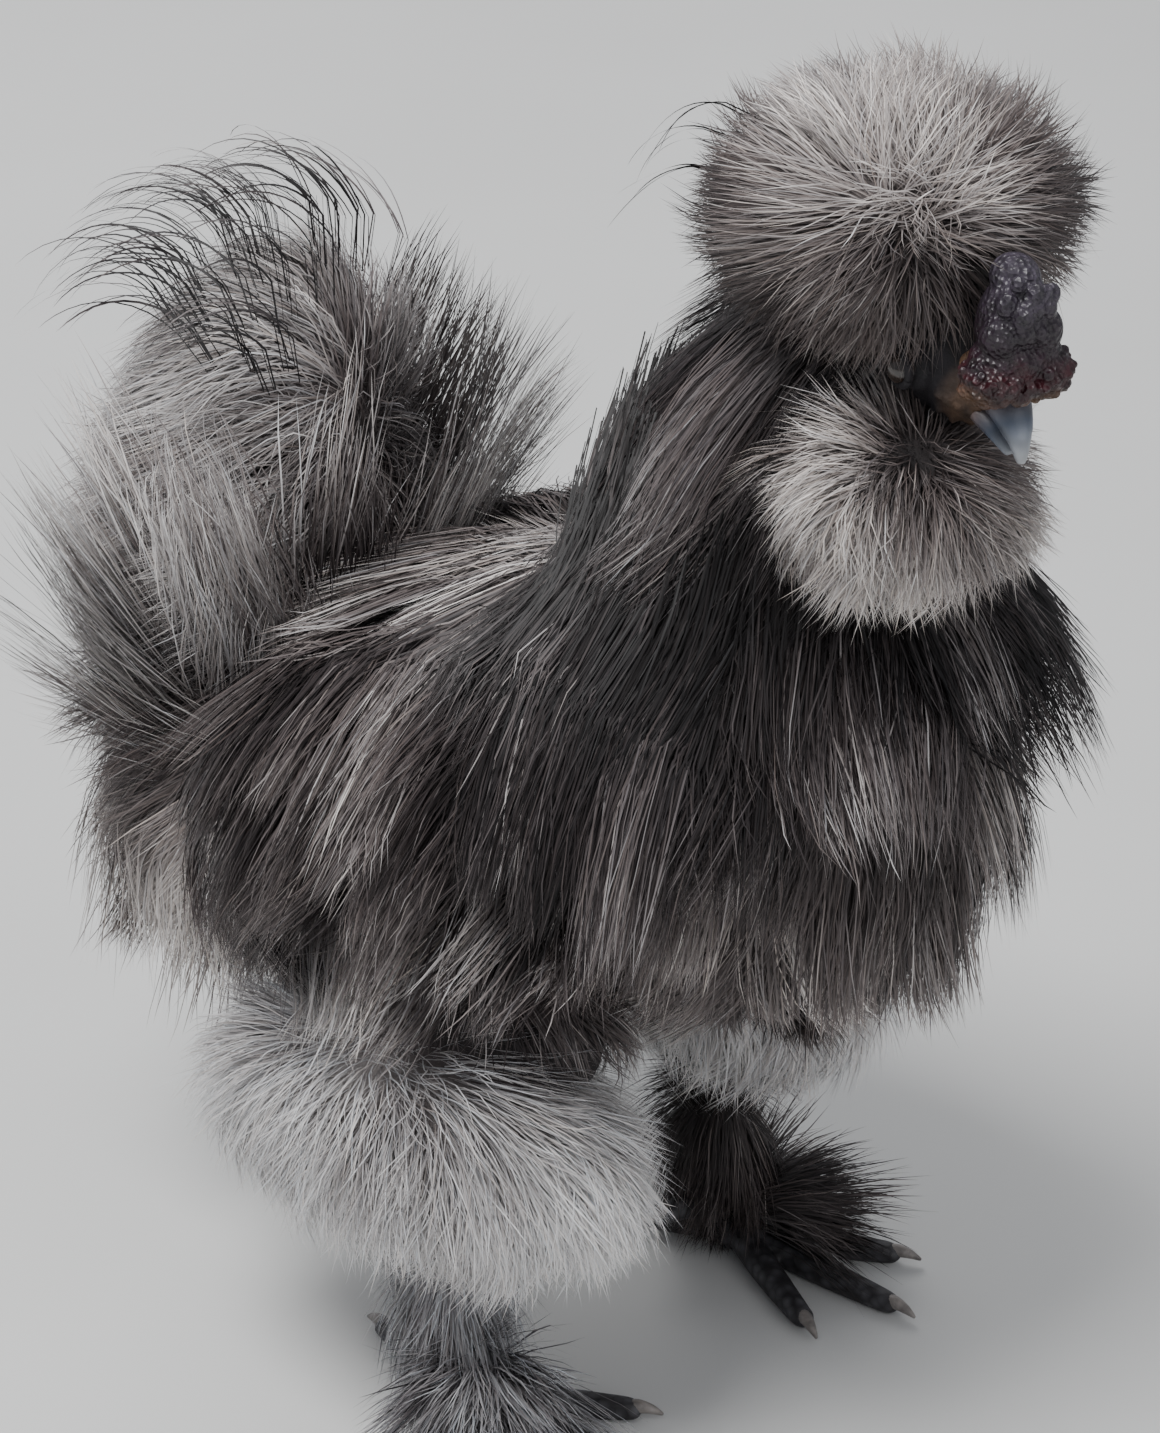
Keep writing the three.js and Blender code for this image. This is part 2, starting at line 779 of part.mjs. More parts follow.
parts.torso = coated(
  "torso",
  [],
  [
    coreOf("neck", GAP),
    spaceOf("beard"),
    spaceOf("wing_right"),
    spaceOf("wing_left"),
    coreOf("thigh_right", GAP),
    coreOf("thigh_left", GAP),
    coreOf("tail", GAP),
    shankBone(RIGHT_FOOT_AT, GAP),
    shankBone(LEFT_FOOT_AT, GAP),
  ],
);
parts.tail = coated("tail", ["torso"], []);

// Colours as seen in the photo, and how rough
const looks = {
  eye: [0x120c0a, 0.15],
  comb: [0x4a2a36, 0.55],
  beak: [0x5b6068, 0.45],
  head: [0x2b2228, 0.7],
  crest: [0x7d7576, 0.9],
  beard: [0x8e8883, 0.9],
  neck: [0x252023, 0.85],
  wing: [0x4a4144, 0.85],
  thigh: [0xa6a5a6, 0.9],
  torso: [0x352d2f, 0.88],
  tail: [0x767072, 0.88],
  shank: [0x85868b, 0.85],
  foot: [0x33302f, 0.7],
  claw: [0x8b857e, 0.5],
};

const bird = new THREE.Group();
bird.name = "silkie_chicken";
for (const [name, solid] of Object.entries(parts)) {
  const [colour, roughness] = looks[name.split("_")[0]];
  const material = new THREE.MeshStandardMaterial({ color: colour, roughness, metalness: 0 });
  const mesh = new THREE.Mesh(geometryOf(solid), material);
  mesh.name = name;
  bird.add(mesh);
}

// The origin goes under the middle of the whole bird.
const box = new THREE.Box3().setFromObject(bird);
const middle = box.getCenter(new THREE.Vector3());
for (const mesh of bird.children) {
  mesh.geometry.translate(-middle.x, -middle.y, -box.min.z);
}

export default bird;
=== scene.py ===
"""A bearded silkie cockerel: skin, a coat of fine mesh feathers, face, legs, light and camera."""

import math

import bpy
import numpy as np
from mathutils import Matrix, Vector


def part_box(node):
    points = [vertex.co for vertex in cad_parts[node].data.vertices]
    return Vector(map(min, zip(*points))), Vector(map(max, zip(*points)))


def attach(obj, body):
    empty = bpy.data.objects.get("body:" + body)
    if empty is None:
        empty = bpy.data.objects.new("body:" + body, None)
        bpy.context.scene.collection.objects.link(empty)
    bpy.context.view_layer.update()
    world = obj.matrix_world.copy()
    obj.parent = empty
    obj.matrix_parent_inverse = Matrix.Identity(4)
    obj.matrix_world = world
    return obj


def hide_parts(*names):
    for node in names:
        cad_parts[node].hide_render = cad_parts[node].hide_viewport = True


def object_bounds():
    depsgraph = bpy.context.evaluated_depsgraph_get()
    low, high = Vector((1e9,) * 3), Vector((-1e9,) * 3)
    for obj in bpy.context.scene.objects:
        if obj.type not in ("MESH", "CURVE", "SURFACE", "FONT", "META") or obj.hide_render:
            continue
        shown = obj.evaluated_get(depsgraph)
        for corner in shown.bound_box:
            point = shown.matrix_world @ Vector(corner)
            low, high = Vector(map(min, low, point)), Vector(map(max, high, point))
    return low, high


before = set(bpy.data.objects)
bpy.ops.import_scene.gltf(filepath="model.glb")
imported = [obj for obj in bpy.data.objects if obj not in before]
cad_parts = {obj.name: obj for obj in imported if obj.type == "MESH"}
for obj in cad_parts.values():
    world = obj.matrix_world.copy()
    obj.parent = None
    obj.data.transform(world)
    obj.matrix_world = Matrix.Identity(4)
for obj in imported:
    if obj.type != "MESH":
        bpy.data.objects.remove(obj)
cad_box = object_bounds()

# The numbers below are in millimetres, from the point on the floor between the feet, as in the
# solids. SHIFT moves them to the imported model's own frame.
HEAD_AT = (104, -10, 316)
HEAD_YAW = -30
HEAD_PITCH = 18
# How far ahead of HEAD_AT, aside of it and above it an eye lies, along the head's own axes
EYE_AHEAD, EYE_ASIDE, EYE_ABOVE = 13, 14.6, 1
EYE_RADIUS = 4.2
RIGHT_FOOT_AT = (5, -56)
LEFT_FOOT_AT = (20, 46)
HOCK_HEIGHT = 70
SINK = 4.5  # how much deeper than a form's core its strands start


def turn_of(yaw=0, pitch=0, roll=0):
    turn = Matrix.Rotation(math.radians(yaw), 3, "Z")
    turn = turn @ Matrix.Rotation(math.radians(pitch), 3, "Y")
    return turn @ Matrix.Rotation(math.radians(roll), 3, "X")


HEAD_TURN = turn_of(HEAD_YAW, HEAD_PITCH)


def on_head(point):
    return tuple(HEAD_TURN @ Vector(point) + Vector(HEAD_AT))


low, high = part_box("eye_right")
eye_now = [(a + b) * 500 for a, b in zip(low, high)]
eye_then = on_head((EYE_AHEAD, -EYE_ASIDE, EYE_ABOVE))
SHIFT = np.array([eye_now[k] - eye_then[k] for k in range(2)] + [0.0])


def metres(points):
    return (np.asarray(points, dtype=float) + SHIFT) / 1000


def millimetres(points):
    return np.asarray(points) * 1000 - SHIFT


# Strands stay within MARGIN of the solids' box and off the floor
MARGIN = 5
LOWEST = millimetres(cad_box[0]) - MARGIN
HIGHEST = millimetres(cad_box[1]) + MARGIN
LOWEST[2] = 1.5
EASE_FROM = 0.93  # share of the way from the middle to a limit at which strands start to bend

# Forms, as in the solids

THIN = 20  # a form with a smaller radius across is thin
FLANK = 30  # strands farther aside than this run over a thin form, not through it


class Form:
    def __init__(self, centre, radii, turn=(0, 0, 0)):
        self.centre = np.array(centre, dtype=float)
        self.radii = np.array(radii, dtype=float)
        self.turn = np.array(turn_of(*turn))

    def point(self, unit, depth):
        return (unit * (self.radii - np.asarray(depth)[..., None])) @ self.turn.T + self.centre

    def normal(self, unit):
        slope = (unit / self.radii) @ self.turn.T
        return slope / np.linalg.norm(slope, axis=-1, keepdims=True)

    def share(self, points, height):
        """How far out points are: 1 at the tips, less inside."""
        local = ((points - self.centre) @ self.turn) / (self.radii + height)
        return np.linalg.norm(local, axis=-1)

    def pushed_aside(self, points, height):
        """As pushed_out, but only sideways, for a form that is thin across."""
        local = (points - self.centre) @ self.turn
        flat = (local[..., 0] / self.radii[0]) ** 2 + (local[..., 2] / self.radii[2]) ** 2
        face = self.radii[1] * np.sqrt(np.clip(1 - flat, 0, 1))
        face = face + height * np.clip(4 - 4 * flat, 0, 1)
        side = np.sign(self.centre[1])
        out = points.copy()
        pushed = self.centre[1] + side * np.maximum(side * local[..., 1], face)
        under = (flat < 1) & (side * points[..., 1] > FLANK)
        out[..., 1] = np.where(under, pushed, points[..., 1])
        return out

    def pushed_out(self, points, height):
        """Moves what lies inside the form, or less than height above it, out to that height."""
        if self.radii[1] < THIN:
            return self.pushed_aside(points, height)
        share = self.share(points, height)[..., None]
        out = (points - self.centre) / np.maximum(share, 0.05) + self.centre
        return np.where(share < 1, out, points)


CREST = Form((92, -10, 341), (45, 45, 35), (-25, 0, 0))
BEARD = Form((106, -24, 283), (32, 35, 27), (-25, 20, 0))
NECK = Form((62, -3, 262), (48, 48, 80), (0, 24, 0))
TORSO = Form((2, 0, 168), (104, 68, 66), (0, -10, 0))
BREAST = Form((71, 0, 192), (55, 60, 73))
REAR = Form((-92, -2, 148), (66, 58, 60), (0, -12, 0))
TAIL = Form((-98, -1, 216), (52, 50, 84), (0, 15, 0))
THIGH_RIGHT = Form((-8, -58, 88), (72, 38, 41))
THIGH_LEFT = Form((8, 54, 88), (58, 36, 40))
HIP_RIGHT = Form((-4, -44, 116), (48, 28, 34))
HIP_LEFT = Form((6, 42, 116), (44, 28, 34))
WING_RIGHT = Form((2, -62, 186), (84, 15, 42), (0, -22, 0))
WING_LEFT = Form((2, 62, 186), (84, 15, 42), (0, -22, 0))

# Random numbers, all from one seed
rng = np.random.default_rng(7)


# Markings: a tone from 0 (near black) to 1 (silver white) and a warmth, by place

PALETTE = [
    (0.0, (0.007, 0.006, 0.0065)),
    (0.25, (0.030, 0.024, 0.025)),
    (0.5, (0.122, 0.106, 0.107)),
    (0.75, (0.33, 0.312, 0.312)),
    (1.0, (0.72, 0.71, 0.71)),
]


def waves(points, size, seed):
    """Smooth noise between -1 and 1 with spots about size millimetres across."""
    own = np.random.default_rng(seed)
    total = np.zeros(points.shape[:-1])
    for _ in range(7):
        way = own.normal(size=3)
        way *= 2 * math.pi / size / np.linalg.norm(way) * own.uniform(0.5, 1.3)
        total += np.sin(points @ way + own.uniform(0, 6.3))
    return total / 2.6


def patch(points, centre, radius):
    gap = np.linalg.norm(points - np.array(centre), axis=-1) / radius
    return np.exp(-(gap**2))


def shade_at(values, palette):
    """Colours at values, blended between the shades of a palette."""
    stops, shades = (np.array(part) for part in zip(*palette))
    return np.stack([np.interp(values, stops, shades[:, k]) for k in range(3)], axis=-1)


WARM_RED, WARM_BLUE = 0.16, 0.14  # how much warmth adds to red and takes from blue


def tone_to_colour(tone, warm):
    tint = np.stack([1 + WARM_RED * warm, np.ones_like(warm), 1 - WARM_BLUE * warm], axis=-1)
    return shade_at(np.clip(tone, 0, 1), PALETTE) * tint


# Region: base tone, how much the tips are lighter, warmth
REGIONS = {
    "crest": (0.33, 0.24, 0.34),
    "beard": (0.46, 0.34, 0.36),
    "neck": (0.07, 0.16, 0.12),
    "cape": (0.10, 0.22, 0.15),
    "breast": (0.16, 0.30, 0.32),
    "back": (0.30, 0.26, 0.28),
    "rear": (0.28, 0.22, 0.38),
    "tail": (0.56, 0.24, 0.18),
    "sickle": (0.10, 0.30, 0.08),
    "wing": (0.19, 0.32, 0.24),
    "hip": (0.32, 0.20, 0.22),
    "thigh": (0.86, 0.14, 0.04),
    "shank": (0.64, 0.16, -0.25),
    # The far shank: the same coat as the shank, painted darker and warmer as shade on the side
    # away from the key light
    "shank_painted_shade": (0.16, 0.18, 0.32),
}

# Marks seen in the photo: region, place, radius, how much lighter or darker
MARKS = [
    # The lighter top of the crest: partly the crest's own silver, partly a painted highlight where
    # light falls from above
    ("crest", (106, -30, 372), 24, 0.5),
    ("crest", (78, -34, 366), 18, 0.16),
    ("crest", (58, -38, 330), 30, -0.26),
    ("crest", (119, -38, 354), 13, -0.16),
    ("crest", (108, -52, 318), 14, 0.2),
    ("beard", (90, -50, 294), 17, 0.3),
    ("beard", (108, -46, 262), 22, 0.22),
    ("beard", (120, -42, 296), 15, -0.3),
    ("neck", (52, -42, 295), 13, 0.36),
    ("neck", (20, -14, 290), 12, 0.12),
    ("cape", (20, -66, 214), 24, 0.16),
    ("back", (-8, -22, 240), 36, 0.5),
    ("back", (-56, -54, 196), 30, -0.12),
    ("rear", (-124, -40, 116), 34, 0.4),
    ("rear", (-82, -48, 114), 30, 0.6),
    ("rear", (-110, -44, 168), 36, -0.14),
    ("tail", (-84, -42, 222), 26, 0.34),
    ("tail", (-50, -32, 228), 20, -0.26),
    ("tail", (-150, -10, 250), 26, -0.1),
    ("wing", (-13, -74, 146), 18, 0.36),
    ("wing", (-20, -74, 126), 16, 0.5),
    ("breast", (66, -58, 172), 13, 0.22),
    ("wing", (10, -78, 176), 30, 0.12),
    ("breast", (77, -56, 160), 13, 0.26),
    ("breast", (76, -50, 128), 24, 0.26),
    ("breast", (92, 4, 122), 34, 0.26),
    ("breast", (104, -36, 190), 30, 0.1),
]


def tone_at(region, points):
    tone = np.full(points.shape[:-1], REGIONS[region][0])
    for where, centre, radius, change in MARKS:
        if where == region:
            tone = tone + change * patch(points, centre, radius)
    broad, fine = waves(points, 46, seed=3), waves(points, 17, seed=4)
    return tone + 0.07 * broad + 0.05 * fine


# Coat


def spread_units(count):
    """Directions spread evenly over a ball, a little shaken."""
    k = np.arange(count) + 0.5
    z = 1 - 2 * k / count
    turn = math.pi * (1 + math.sqrt(5)) * k
    r = np.sqrt(1 - z * z)
    units = np.stack([r * np.cos(turn), r * np.sin(turn), z], axis=-1)
    units += rng.normal(scale=0.7 / math.sqrt(count), size=units.shape)
    return units / np.linalg.norm(units, axis=-1, keepdims=True)


# Stations along a strand, from root to tip
LONG = np.array([0.0, 0.3, 0.58, 0.82, 1.0])
SHORT = np.array([0.0, 0.42, 0.76, 1.0])
ARCHED = np.linspace(0, 1, 12)
# The OFBake map: a tuft's own spot, how far its roots lie apart there, and a strand's width
TUFT_IN_MAP, ROOTS_IN_MAP, STRAND_IN_MAP = 0.003, 0.0027, 0.0003
MAP_EDGE, MAP_SHARE = 0.01, 0.97


def linked(name, data):
    made = bpy.data.objects.new(name, data)
    bpy.context.scene.collection.objects.link(made)
    return made


def placed(piece, look, slot, *replaced):
    """Gives a piece its material and its body, and hides the solids it stands for. Its slot is not
    used.
    """
    piece.data.materials.append(look)
    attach(piece, "root")
    if replaced:
        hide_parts(*replaced)


def smoothed(mesh):
    mesh.polygons.foreach_set("use_smooth", np.ones(len(mesh.polygons), dtype=bool))


def write_tone(mesh, colours):
    tint = mesh.color_attributes.new("tone", "FLOAT_COLOR", "POINT")
    tint.data.foreach_set("color", colours.ravel().astype(np.float32))


def on_edges(values):
    """Values at the stations of strands, given to both edges and once to the tip."""
    return np.concatenate([np.repeat(values[:, :-1], 2, axis=1), values[:, -1:]], axis=1)


class Coat:
    """The strands of one piece: a path of a few points each, a width, and a tone at each point."""

    def __init__(self, name, stations=LONG):
        self.name = name
        self.t = stations
        self.strands = []

    def add(self, *arrays):
        self.strands.append(arrays)

    def build(self, *replaced, slot):
        paths, ups, widths, tones, warms, roots = map(np.concatenate, zip(*self.strands))
        count, stations = paths.shape[:2]
        pairs = stations - 1
        # Each strand is a flat ribbon, rolled a little about its path
        along = np.gradient(paths, axis=1)
        side = unit_of(np.cross(along, ups))
        up = unit_of(np.cross(side, along))
        roll = rng.normal(scale=0.4, size=(count, 1, 1))
        side = side * np.cos(roll) + up * np.sin(roll)
        # Its shading follows the coat more than the ribbon's own face
        faced = unit_of(np.cross(side, along))
        faced = faced * np.sign((faced * ups).sum(-1, keepdims=True) + 1e-6)
        normals = on_edges(unit_of(ups * 0.8 + faced * 0.45))
        profile = np.interp(self.t[:pairs], [0, 0.3, 0.8, 1], [0.8, 1, 0.7, 0.3])
        half = side[:, :pairs] * (widths[:, None] * profile / 2)[..., None]
        points = on_edges(paths)
        points[:, 0:-1:2] -= half
        points[:, 1:-1:2] += half
        own = points.shape[1]
        colours = np.ones((count, own, 4))
        colours[..., :3] = on_edges(tone_to_colour(tones, warms[:, None]))
        climb = roots[:, None, 1] + self.t * TUFT_IN_MAP
        uv = on_edges(np.stack([np.broadcast_to(roots[:, :1], climb.shape), climb], axis=-1))
        uv[:, 1:-1:2, 0] += STRAND_IN_MAP
        uv[:, -1, 0] += STRAND_IN_MAP / 2
        # Four-sided faces up the ribbon and a triangle at the tip
        corners = []
        for i in range(pairs - 1):
            corners += [2 * i, 2 * i + 1, 2 * i + 3, 2 * i + 2]
        corners += [own - 3, own - 2, own - 1]
        loops = (np.arange(count)[:, None] * own + np.array(corners)).ravel()
        totals = np.tile([4] * (pairs - 1) + [3], count)
        starts = np.concatenate([[0], np.cumsum(totals)[:-1]])
        mesh = bpy.data.meshes.new(self.name)
        mesh.vertices.add(count * own)
        mesh.vertices.foreach_set("co", metres(points.reshape(-1, 3)).ravel())
        mesh.loops.add(len(loops))
        mesh.loops.foreach_set("vertex_index", loops.astype(np.int32))
        mesh.polygons.add(len(totals))
        mesh.polygons.foreach_set("loop_start", starts.astype(np.int32))
        smoothed(mesh)
        write_tone(mesh, colours)
        layer = mesh.uv_layers.new(name="OFBake")
        layer.data.foreach_set("uv", uv.reshape(-1, 2)[loops].ravel().astype(np.float32))
        mesh.update(calc_edges=True)
        mesh.validate()
        mesh.normals_split_custom_set_from_vertices(normals.reshape(-1, 3).tolist())
        placed(linked(self.name, mesh), coat_material, slot, *replaced)


def unit_of(vectors):
    return vectors / np.maximum(np.linalg.norm(vectors, axis=-1, keepdims=True), 1e-9)


DEFAULTS = {
    "each": 9,  # strands in a tuft
    "spread": 3.0,  # how far a tuft's roots lie apart
    "gather": 0.4,  # how far a tuft's strands close up at their tips
    "lock": 7,  # tufts in a lock
    "close": 0.35,  # how far a lock's tufts close up at their tips
    "wisp": 1.6,  # how far single tips stray
    "bend": 2.5,  # how far a lock's tip strays
    "curl": 0.9,  # how far strands wave to either side
    "width": 0.5,  # of a strand
    "silver": 0.06,  # share of silver strands
    "lock_tone": 0.05,  # how much the tone differs from lock to lock
    "tuft_tone": 0.05,  # from tuft to tuft
    "own_tone": 0.03,  # from strand to strand
    "reach": (-1, 3),  # how deep below a form tips end, or above it where negative
    "swing": 0.18,  # how far strands turn off their way, in radians
    "shake": 0.1,  # how much the pole differs from tuft to tuft
    "droop": 0,  # how far strands sink toward their tips
    "rise": 0.9,  # how early strands come up out of the skin
    "over": (),  # forms that strands lie on, each with a height above it
    "dark_root": 0.14,  # how much darker roots are
    "whorl": 0.7,  # how far from the pole, in radians, strands stand up
    "upright": 0.3,  # how little of their length strands lie over at the pole
}


def eased(points):
    """Bends what nears the limits back in, and keeps it off the floor."""
    middle = (LOWEST + HIGHEST) / 2
    room = (HIGHEST - LOWEST) / 2
    away = (points - middle) / room
    far = np.abs(away)
    left = 1 - EASE_FROM
    bent = EASE_FROM + left * np.tanh(np.maximum(far - EASE_FROM, 0) / left)
    out = np.where(far > EASE_FROM, middle + np.sign(away) * bent * room, points)
    raised = np.where(points[..., 2] > middle[2], out[..., 2], points[..., 2])
    out[..., 2] = np.maximum(raised, LOWEST[2])
    return out


def grow(coat, region, lead, lead_ups, own, own_ups, uv, o):
    """Adds a coat's strands, drawn together into tufts and locks, with their tones."""
    t = coat.t
    tufts = len(lead)
    each = o["each"]
    who = np.repeat(np.arange(tufts), each)
    count = tufts * each
    heads = rng.choice(tufts, size=max(1, tufts // o["lock"]), replace=False)
    gaps = np.linalg.norm(lead[:, None, 1] - lead[None, heads, 1], axis=-1)
    lock = np.argmin(gaps, axis=1)
    locks = len(heads)
    draw = (lead[heads][lock] - lead) * (o["close"] * t**1.3)[None, :, None]
    gather = (o["gather"] * t**1.4)[None, :, None]
    paths = own * (1 - gather) + lead[who] * gather + draw[who]
    bend = rng.normal(size=(locks, 1, 3))[lock[who]] * (o["bend"] * t**1.7)[None, :, None]
    wisp = rng.normal(size=(count, 1, 3)) * (o["wisp"] * t**1.8)[None, :, None]
    sway = unit_of(np.cross(own_ups, np.gradient(paths, axis=1)))
    curl = np.sin(t * 6 + rng.uniform(0, 6.3, size=(count, 1))) * t * o["curl"]
    paths = eased(paths + bend + wisp + sway * curl[..., None])
    widths = o["width"] * rng.uniform(0.65, 1.3, size=count)
    base = tone_at(region, paths[:, 2])
    _, lift, warmth = REGIONS[region]
    base = base + o["lock_tone"] * (rng.exponential(size=locks) - 1)[lock[who]]
    base = base + rng.normal(scale=o["tuft_tone"], size=tufts)[who]
    base = base + rng.normal(scale=o["own_tone"], size=count)
    silver = (rng.random(count) < o["silver"]) * rng.uniform(0.15, 0.4, count)
    tones = base[:, None] + lift * (t - 0.5) * 1.5 + silver[:, None] * t
    tones = tones - o["dark_root"] * np.clip(1 - t * 3, 0, 1)
    warms = warmth + rng.normal(scale=0.15, size=count)
    roots = uv[who] + rng.uniform(0, ROOTS_IN_MAP, size=(count, 2)) * [1, 0]
    coat.add(paths, own_ups, widths, tones, warms, roots)


def unwrap(units):
    """Where on the OFBake map the tufts at these directions lie."""
    u = np.arctan2(units[:, 1], units[:, 0]) / (2 * math.pi) + 0.5
    v = np.arccos(np.clip(units[:, 2], -1, 1)) / math.pi
    return MAP_EDGE + MAP_SHARE * np.stack([u, v], axis=-1)


def turned(way, across, angle):
    """A direction turned toward another one by an angle, at each station."""
    return way * np.cos(angle)[..., None] + across * np.sin(angle)[..., None]


def combed(coat, region, form, pole, tufts, length, core, keep, **more):
    """Strands all over a form, each lying away from the form's pole."""
    o = dict(DEFAULTS, **more)
    t = coat.t
    pole = unit_of(np.array(pole, dtype=float) @ form.turn)
    middle = form.radii.mean()

    def shape(units, poles, swing, own_length, reach):
        way = unit_of(units * (units * poles).sum(-1, keepdims=True) - poles)
        across = np.cross(units, way)
        gap = np.arccos(np.clip((units * poles).sum(-1), -1, 1))
        laid = np.clip(gap / o["whorl"], o["upright"], 1)
        angle = (own_length * laid)[:, None] * t / middle
        twist = swing[:, None] * t
        heading = turned(way[:, None], across[:, None], twist)
        unit = turned(units[:, None], heading, angle)
        depth = (core + SINK) * (1 - t) ** o["rise"] + reach[:, None] * t
        points = form.point(unit, depth)
        points[..., 2] -= o["droop"] * t**2
        for other, height in o["over"]:
            points[:, 1:] = other.pushed_out(points[:, 1:], height)
        return points, form.normal(unit)

    def kept(total):
        units = spread_units(total)
        plain = np.zeros(total)
        paths, _ = shape(units, np.tile(pole, (total, 1)), plain, plain + length, plain + 1)
        return units[keep(paths[:, 2], paths[:, -1])]

    share = len(kept(900)) / 900
    units = kept(int(tufts / max(share, 0.05)))
    count = len(units)
    poles = unit_of(pole + rng.normal(scale=o["shake"], size=(count, 3)))
    swing = rng.normal(scale=o["swing"], size=count)
    reach = rng.uniform(*o["reach"], size=count)
    lengths = length * rng.uniform(0.8, 1.1, size=count)
    lead, lead_ups = shape(units, poles, swing, lengths, reach)
    who = np.repeat(np.arange(count), o["each"])
    shaken = rng.normal(scale=o["spread"] / middle, size=(len(who), 3))
    own_units = unit_of(units[who] + shaken)
    own_swing = swing[who] + rng.normal(scale=0.12, size=len(who))
    own_length = lengths[who] * rng.uniform(0.75, 1.1, size=len(who))
    own_reach = reach[who] + rng.normal(scale=0.6, size=len(who))
    own, own_ups = shape(own_units, poles[who], own_swing, own_length, own_reach)
    grow(coat, region, lead, lead_ups, own, own_ups, unwrap(units), o)


def hung(coat, region, form, units, depth, aims, lengths, over, **more):
    """Strands that start on a form, head along their aim, and hang over other forms."""
    o = dict(DEFAULTS, **more)
    t = coat.t

    def shape(start, heading, length):
        points = [start]
        heading = unit_of(heading)
        for step in np.diff(t):
            heading = heading - np.array([0, 0, o["droop"]]) * step
            heading = unit_of(heading)
            ahead = points[-1] + heading * (length * step)[:, None]
            for other, height in over:
                ahead = other.pushed_out(ahead, height)
            heading = unit_of(0.5 * heading + 0.5 * unit_of(ahead - points[-1]))
            points.append(ahead)
        points = np.stack(points, axis=1)
        return points, unit_of(points - over[0][0].centre)

    count = len(units)
    start = form.point(units, np.full(count, float(depth)))
    lead, lead_ups = shape(start, aims, lengths)
    who = np.repeat(np.arange(count), o["each"])
    own_start = start[who] + rng.normal(scale=o["spread"], size=(len(who), 3))
    own_aim = unit_of(aims[who]) + rng.normal(scale=0.08, size=(len(who), 3))
    own, own_ups = shape(own_start, own_aim, lengths[who] * rng.uniform(0.75, 1.1, size=len(who)))
    grow(coat, region, lead, lead_ups, own, own_ups, unwrap(units), o)


def units_where(count, test):
    """Evenly spread directions that pass a test on their x, y and z."""
    units = spread_units(count)
    return units[test(units[:, 0], units[:, 1], units[:, 2])]


def clear_of(*forms):
    """A test for strands whose middle or tip is outside each form at its height."""

    def keep(middle, tip):
        kept = np.ones(len(tip), dtype=bool)
        for form, height in forms:
            kept &= (form.share(tip, height) >= 1) | (form.share(middle, height) >= 1)
        return kept

    return keep


# Materials


def material(name, rough):
    made = bpy.data.materials.new(name)
    made.use_nodes = True
    shader = made.node_tree.nodes["Principled BSDF"]
    shader.inputs["Roughness"].default_value = rough
    return made, made.node_tree, shader


def texture_node(tree, kind, **values):
    """A texture in a piece's own space."""
    place = tree.nodes.new("ShaderNodeTexCoord")
    node = tree.nodes.new(kind)
    for name, value in values.items():
        node.inputs[name].default_value = value
    tree.links.new(place.outputs["Object"], node.inputs["Vector"])
    return node


def noise(tree, scale, detail, rough=0.55):
    kind = "ShaderNodeTexNoise"
    return texture_node(tree, kind, Scale=scale, Detail=detail, Roughness=rough).outputs["Fac"]


def cells(tree, scale):
    return texture_node(tree, "ShaderNodeTexVoronoi", Scale=scale).outputs["Distance"]


def own_tone(tree):
    """The tone that is stored on a mesh."""
    node = tree.nodes.new("ShaderNodeAttribute")
    node.attribute_name = "tone"
    return node.outputs["Color"]


def ramp_colour(tree, shader, fed, *stops):
    """Base colour from a blend between two stops."""
    node = tree.nodes.new("ShaderNodeValToRGB")
    for element, (place, colour) in zip(node.color_ramp.elements, stops):
        element.position = place
        element.color = (*colour, 1)
    tree.links.new(fed, node.inputs["Fac"])
    tree.links.new(node.outputs["Color"], shader.inputs["Base Color"])


def bump(tree, shader, fed, strength, distance):
    node = tree.nodes.new("ShaderNodeBump")
    node.inputs["Strength"].default_value = strength
    node.inputs["Distance"].default_value = distance
    tree.links.new(fed, node.inputs["Height"])
    tree.links.new(node.outputs["Normal"], shader.inputs["Normal"])


def toned_material(name, rough, fine, low, high):
    """Colour from the mesh's own tone, broken up by fine noise."""
    made, tree, shader = material(name, rough)
    spots = tree.nodes.new("ShaderNodeMapRange")
    spots.inputs["To Min"].default_value = low
    spots.inputs["To Max"].default_value = high
    tree.links.new(noise(tree, fine, 3), spots.inputs["Value"])
    times = tree.nodes.new("ShaderNodeVectorMath")
    times.operation = "SCALE"
    tree.links.new(own_tone(tree), times.inputs[0])
    tree.links.new(spots.outputs["Result"], times.inputs["Scale"])
    tree.links.new(times.outputs["Vector"], shader.inputs["Base Color"])
    return made, tree, shader


coat_material, _, shader = toned_material("feather", 0.5, fine=260, low=0.72, high=1.28)
shader.inputs["Specular IOR Level"].default_value = 0.24
shader.inputs["Sheen Weight"].default_value = 0.05
shader.inputs["Sheen Roughness"].default_value = 0.4

down_material, tree, shader = toned_material("down", 0.85, fine=420, low=0.55, high=1.1)
bump(tree, shader, noise(tree, 700, 5), strength=0.6, distance=0.0012)

comb_material, tree, shader = toned_material("comb_skin", 0.42, fine=700, low=0.6, high=1.3)
bump(tree, shader, cells(tree, 760), strength=0.9, distance=0.001)

face_material, tree, shader = toned_material("face_skin", 0.65, fine=650, low=0.5, high=1.35)
bump(tree, shader, noise(tree, 520, 6, 0.7), strength=0.8, distance=0.001)

beak_material, tree, shader = material("beak_horn", 0.38)
tree.links.new(own_tone(tree), shader.inputs["Base Color"])
bump(tree, shader, noise(tree, 380, 6, 0.7), strength=0.35, distance=0.0006)

eye_material, tree, shader = material("eye_wet", 0.06)
ramp_colour(tree, shader, noise(tree, 600, 3),
            (0.35, (0.006, 0.004, 0.003)), (0.7, (0.03, 0.016, 0.01)))
shader.inputs["Coat Weight"].default_value = 0.6

foot_material, tree, shader = material("foot_scales", 0.55)
scales = cells(tree, 330)
ramp_colour(tree, shader, scales, (0.1, (0.07, 0.068, 0.075)), (0.7, (0.02, 0.018, 0.02)))
bump(tree, shader, scales, strength=0.6, distance=0.0008)

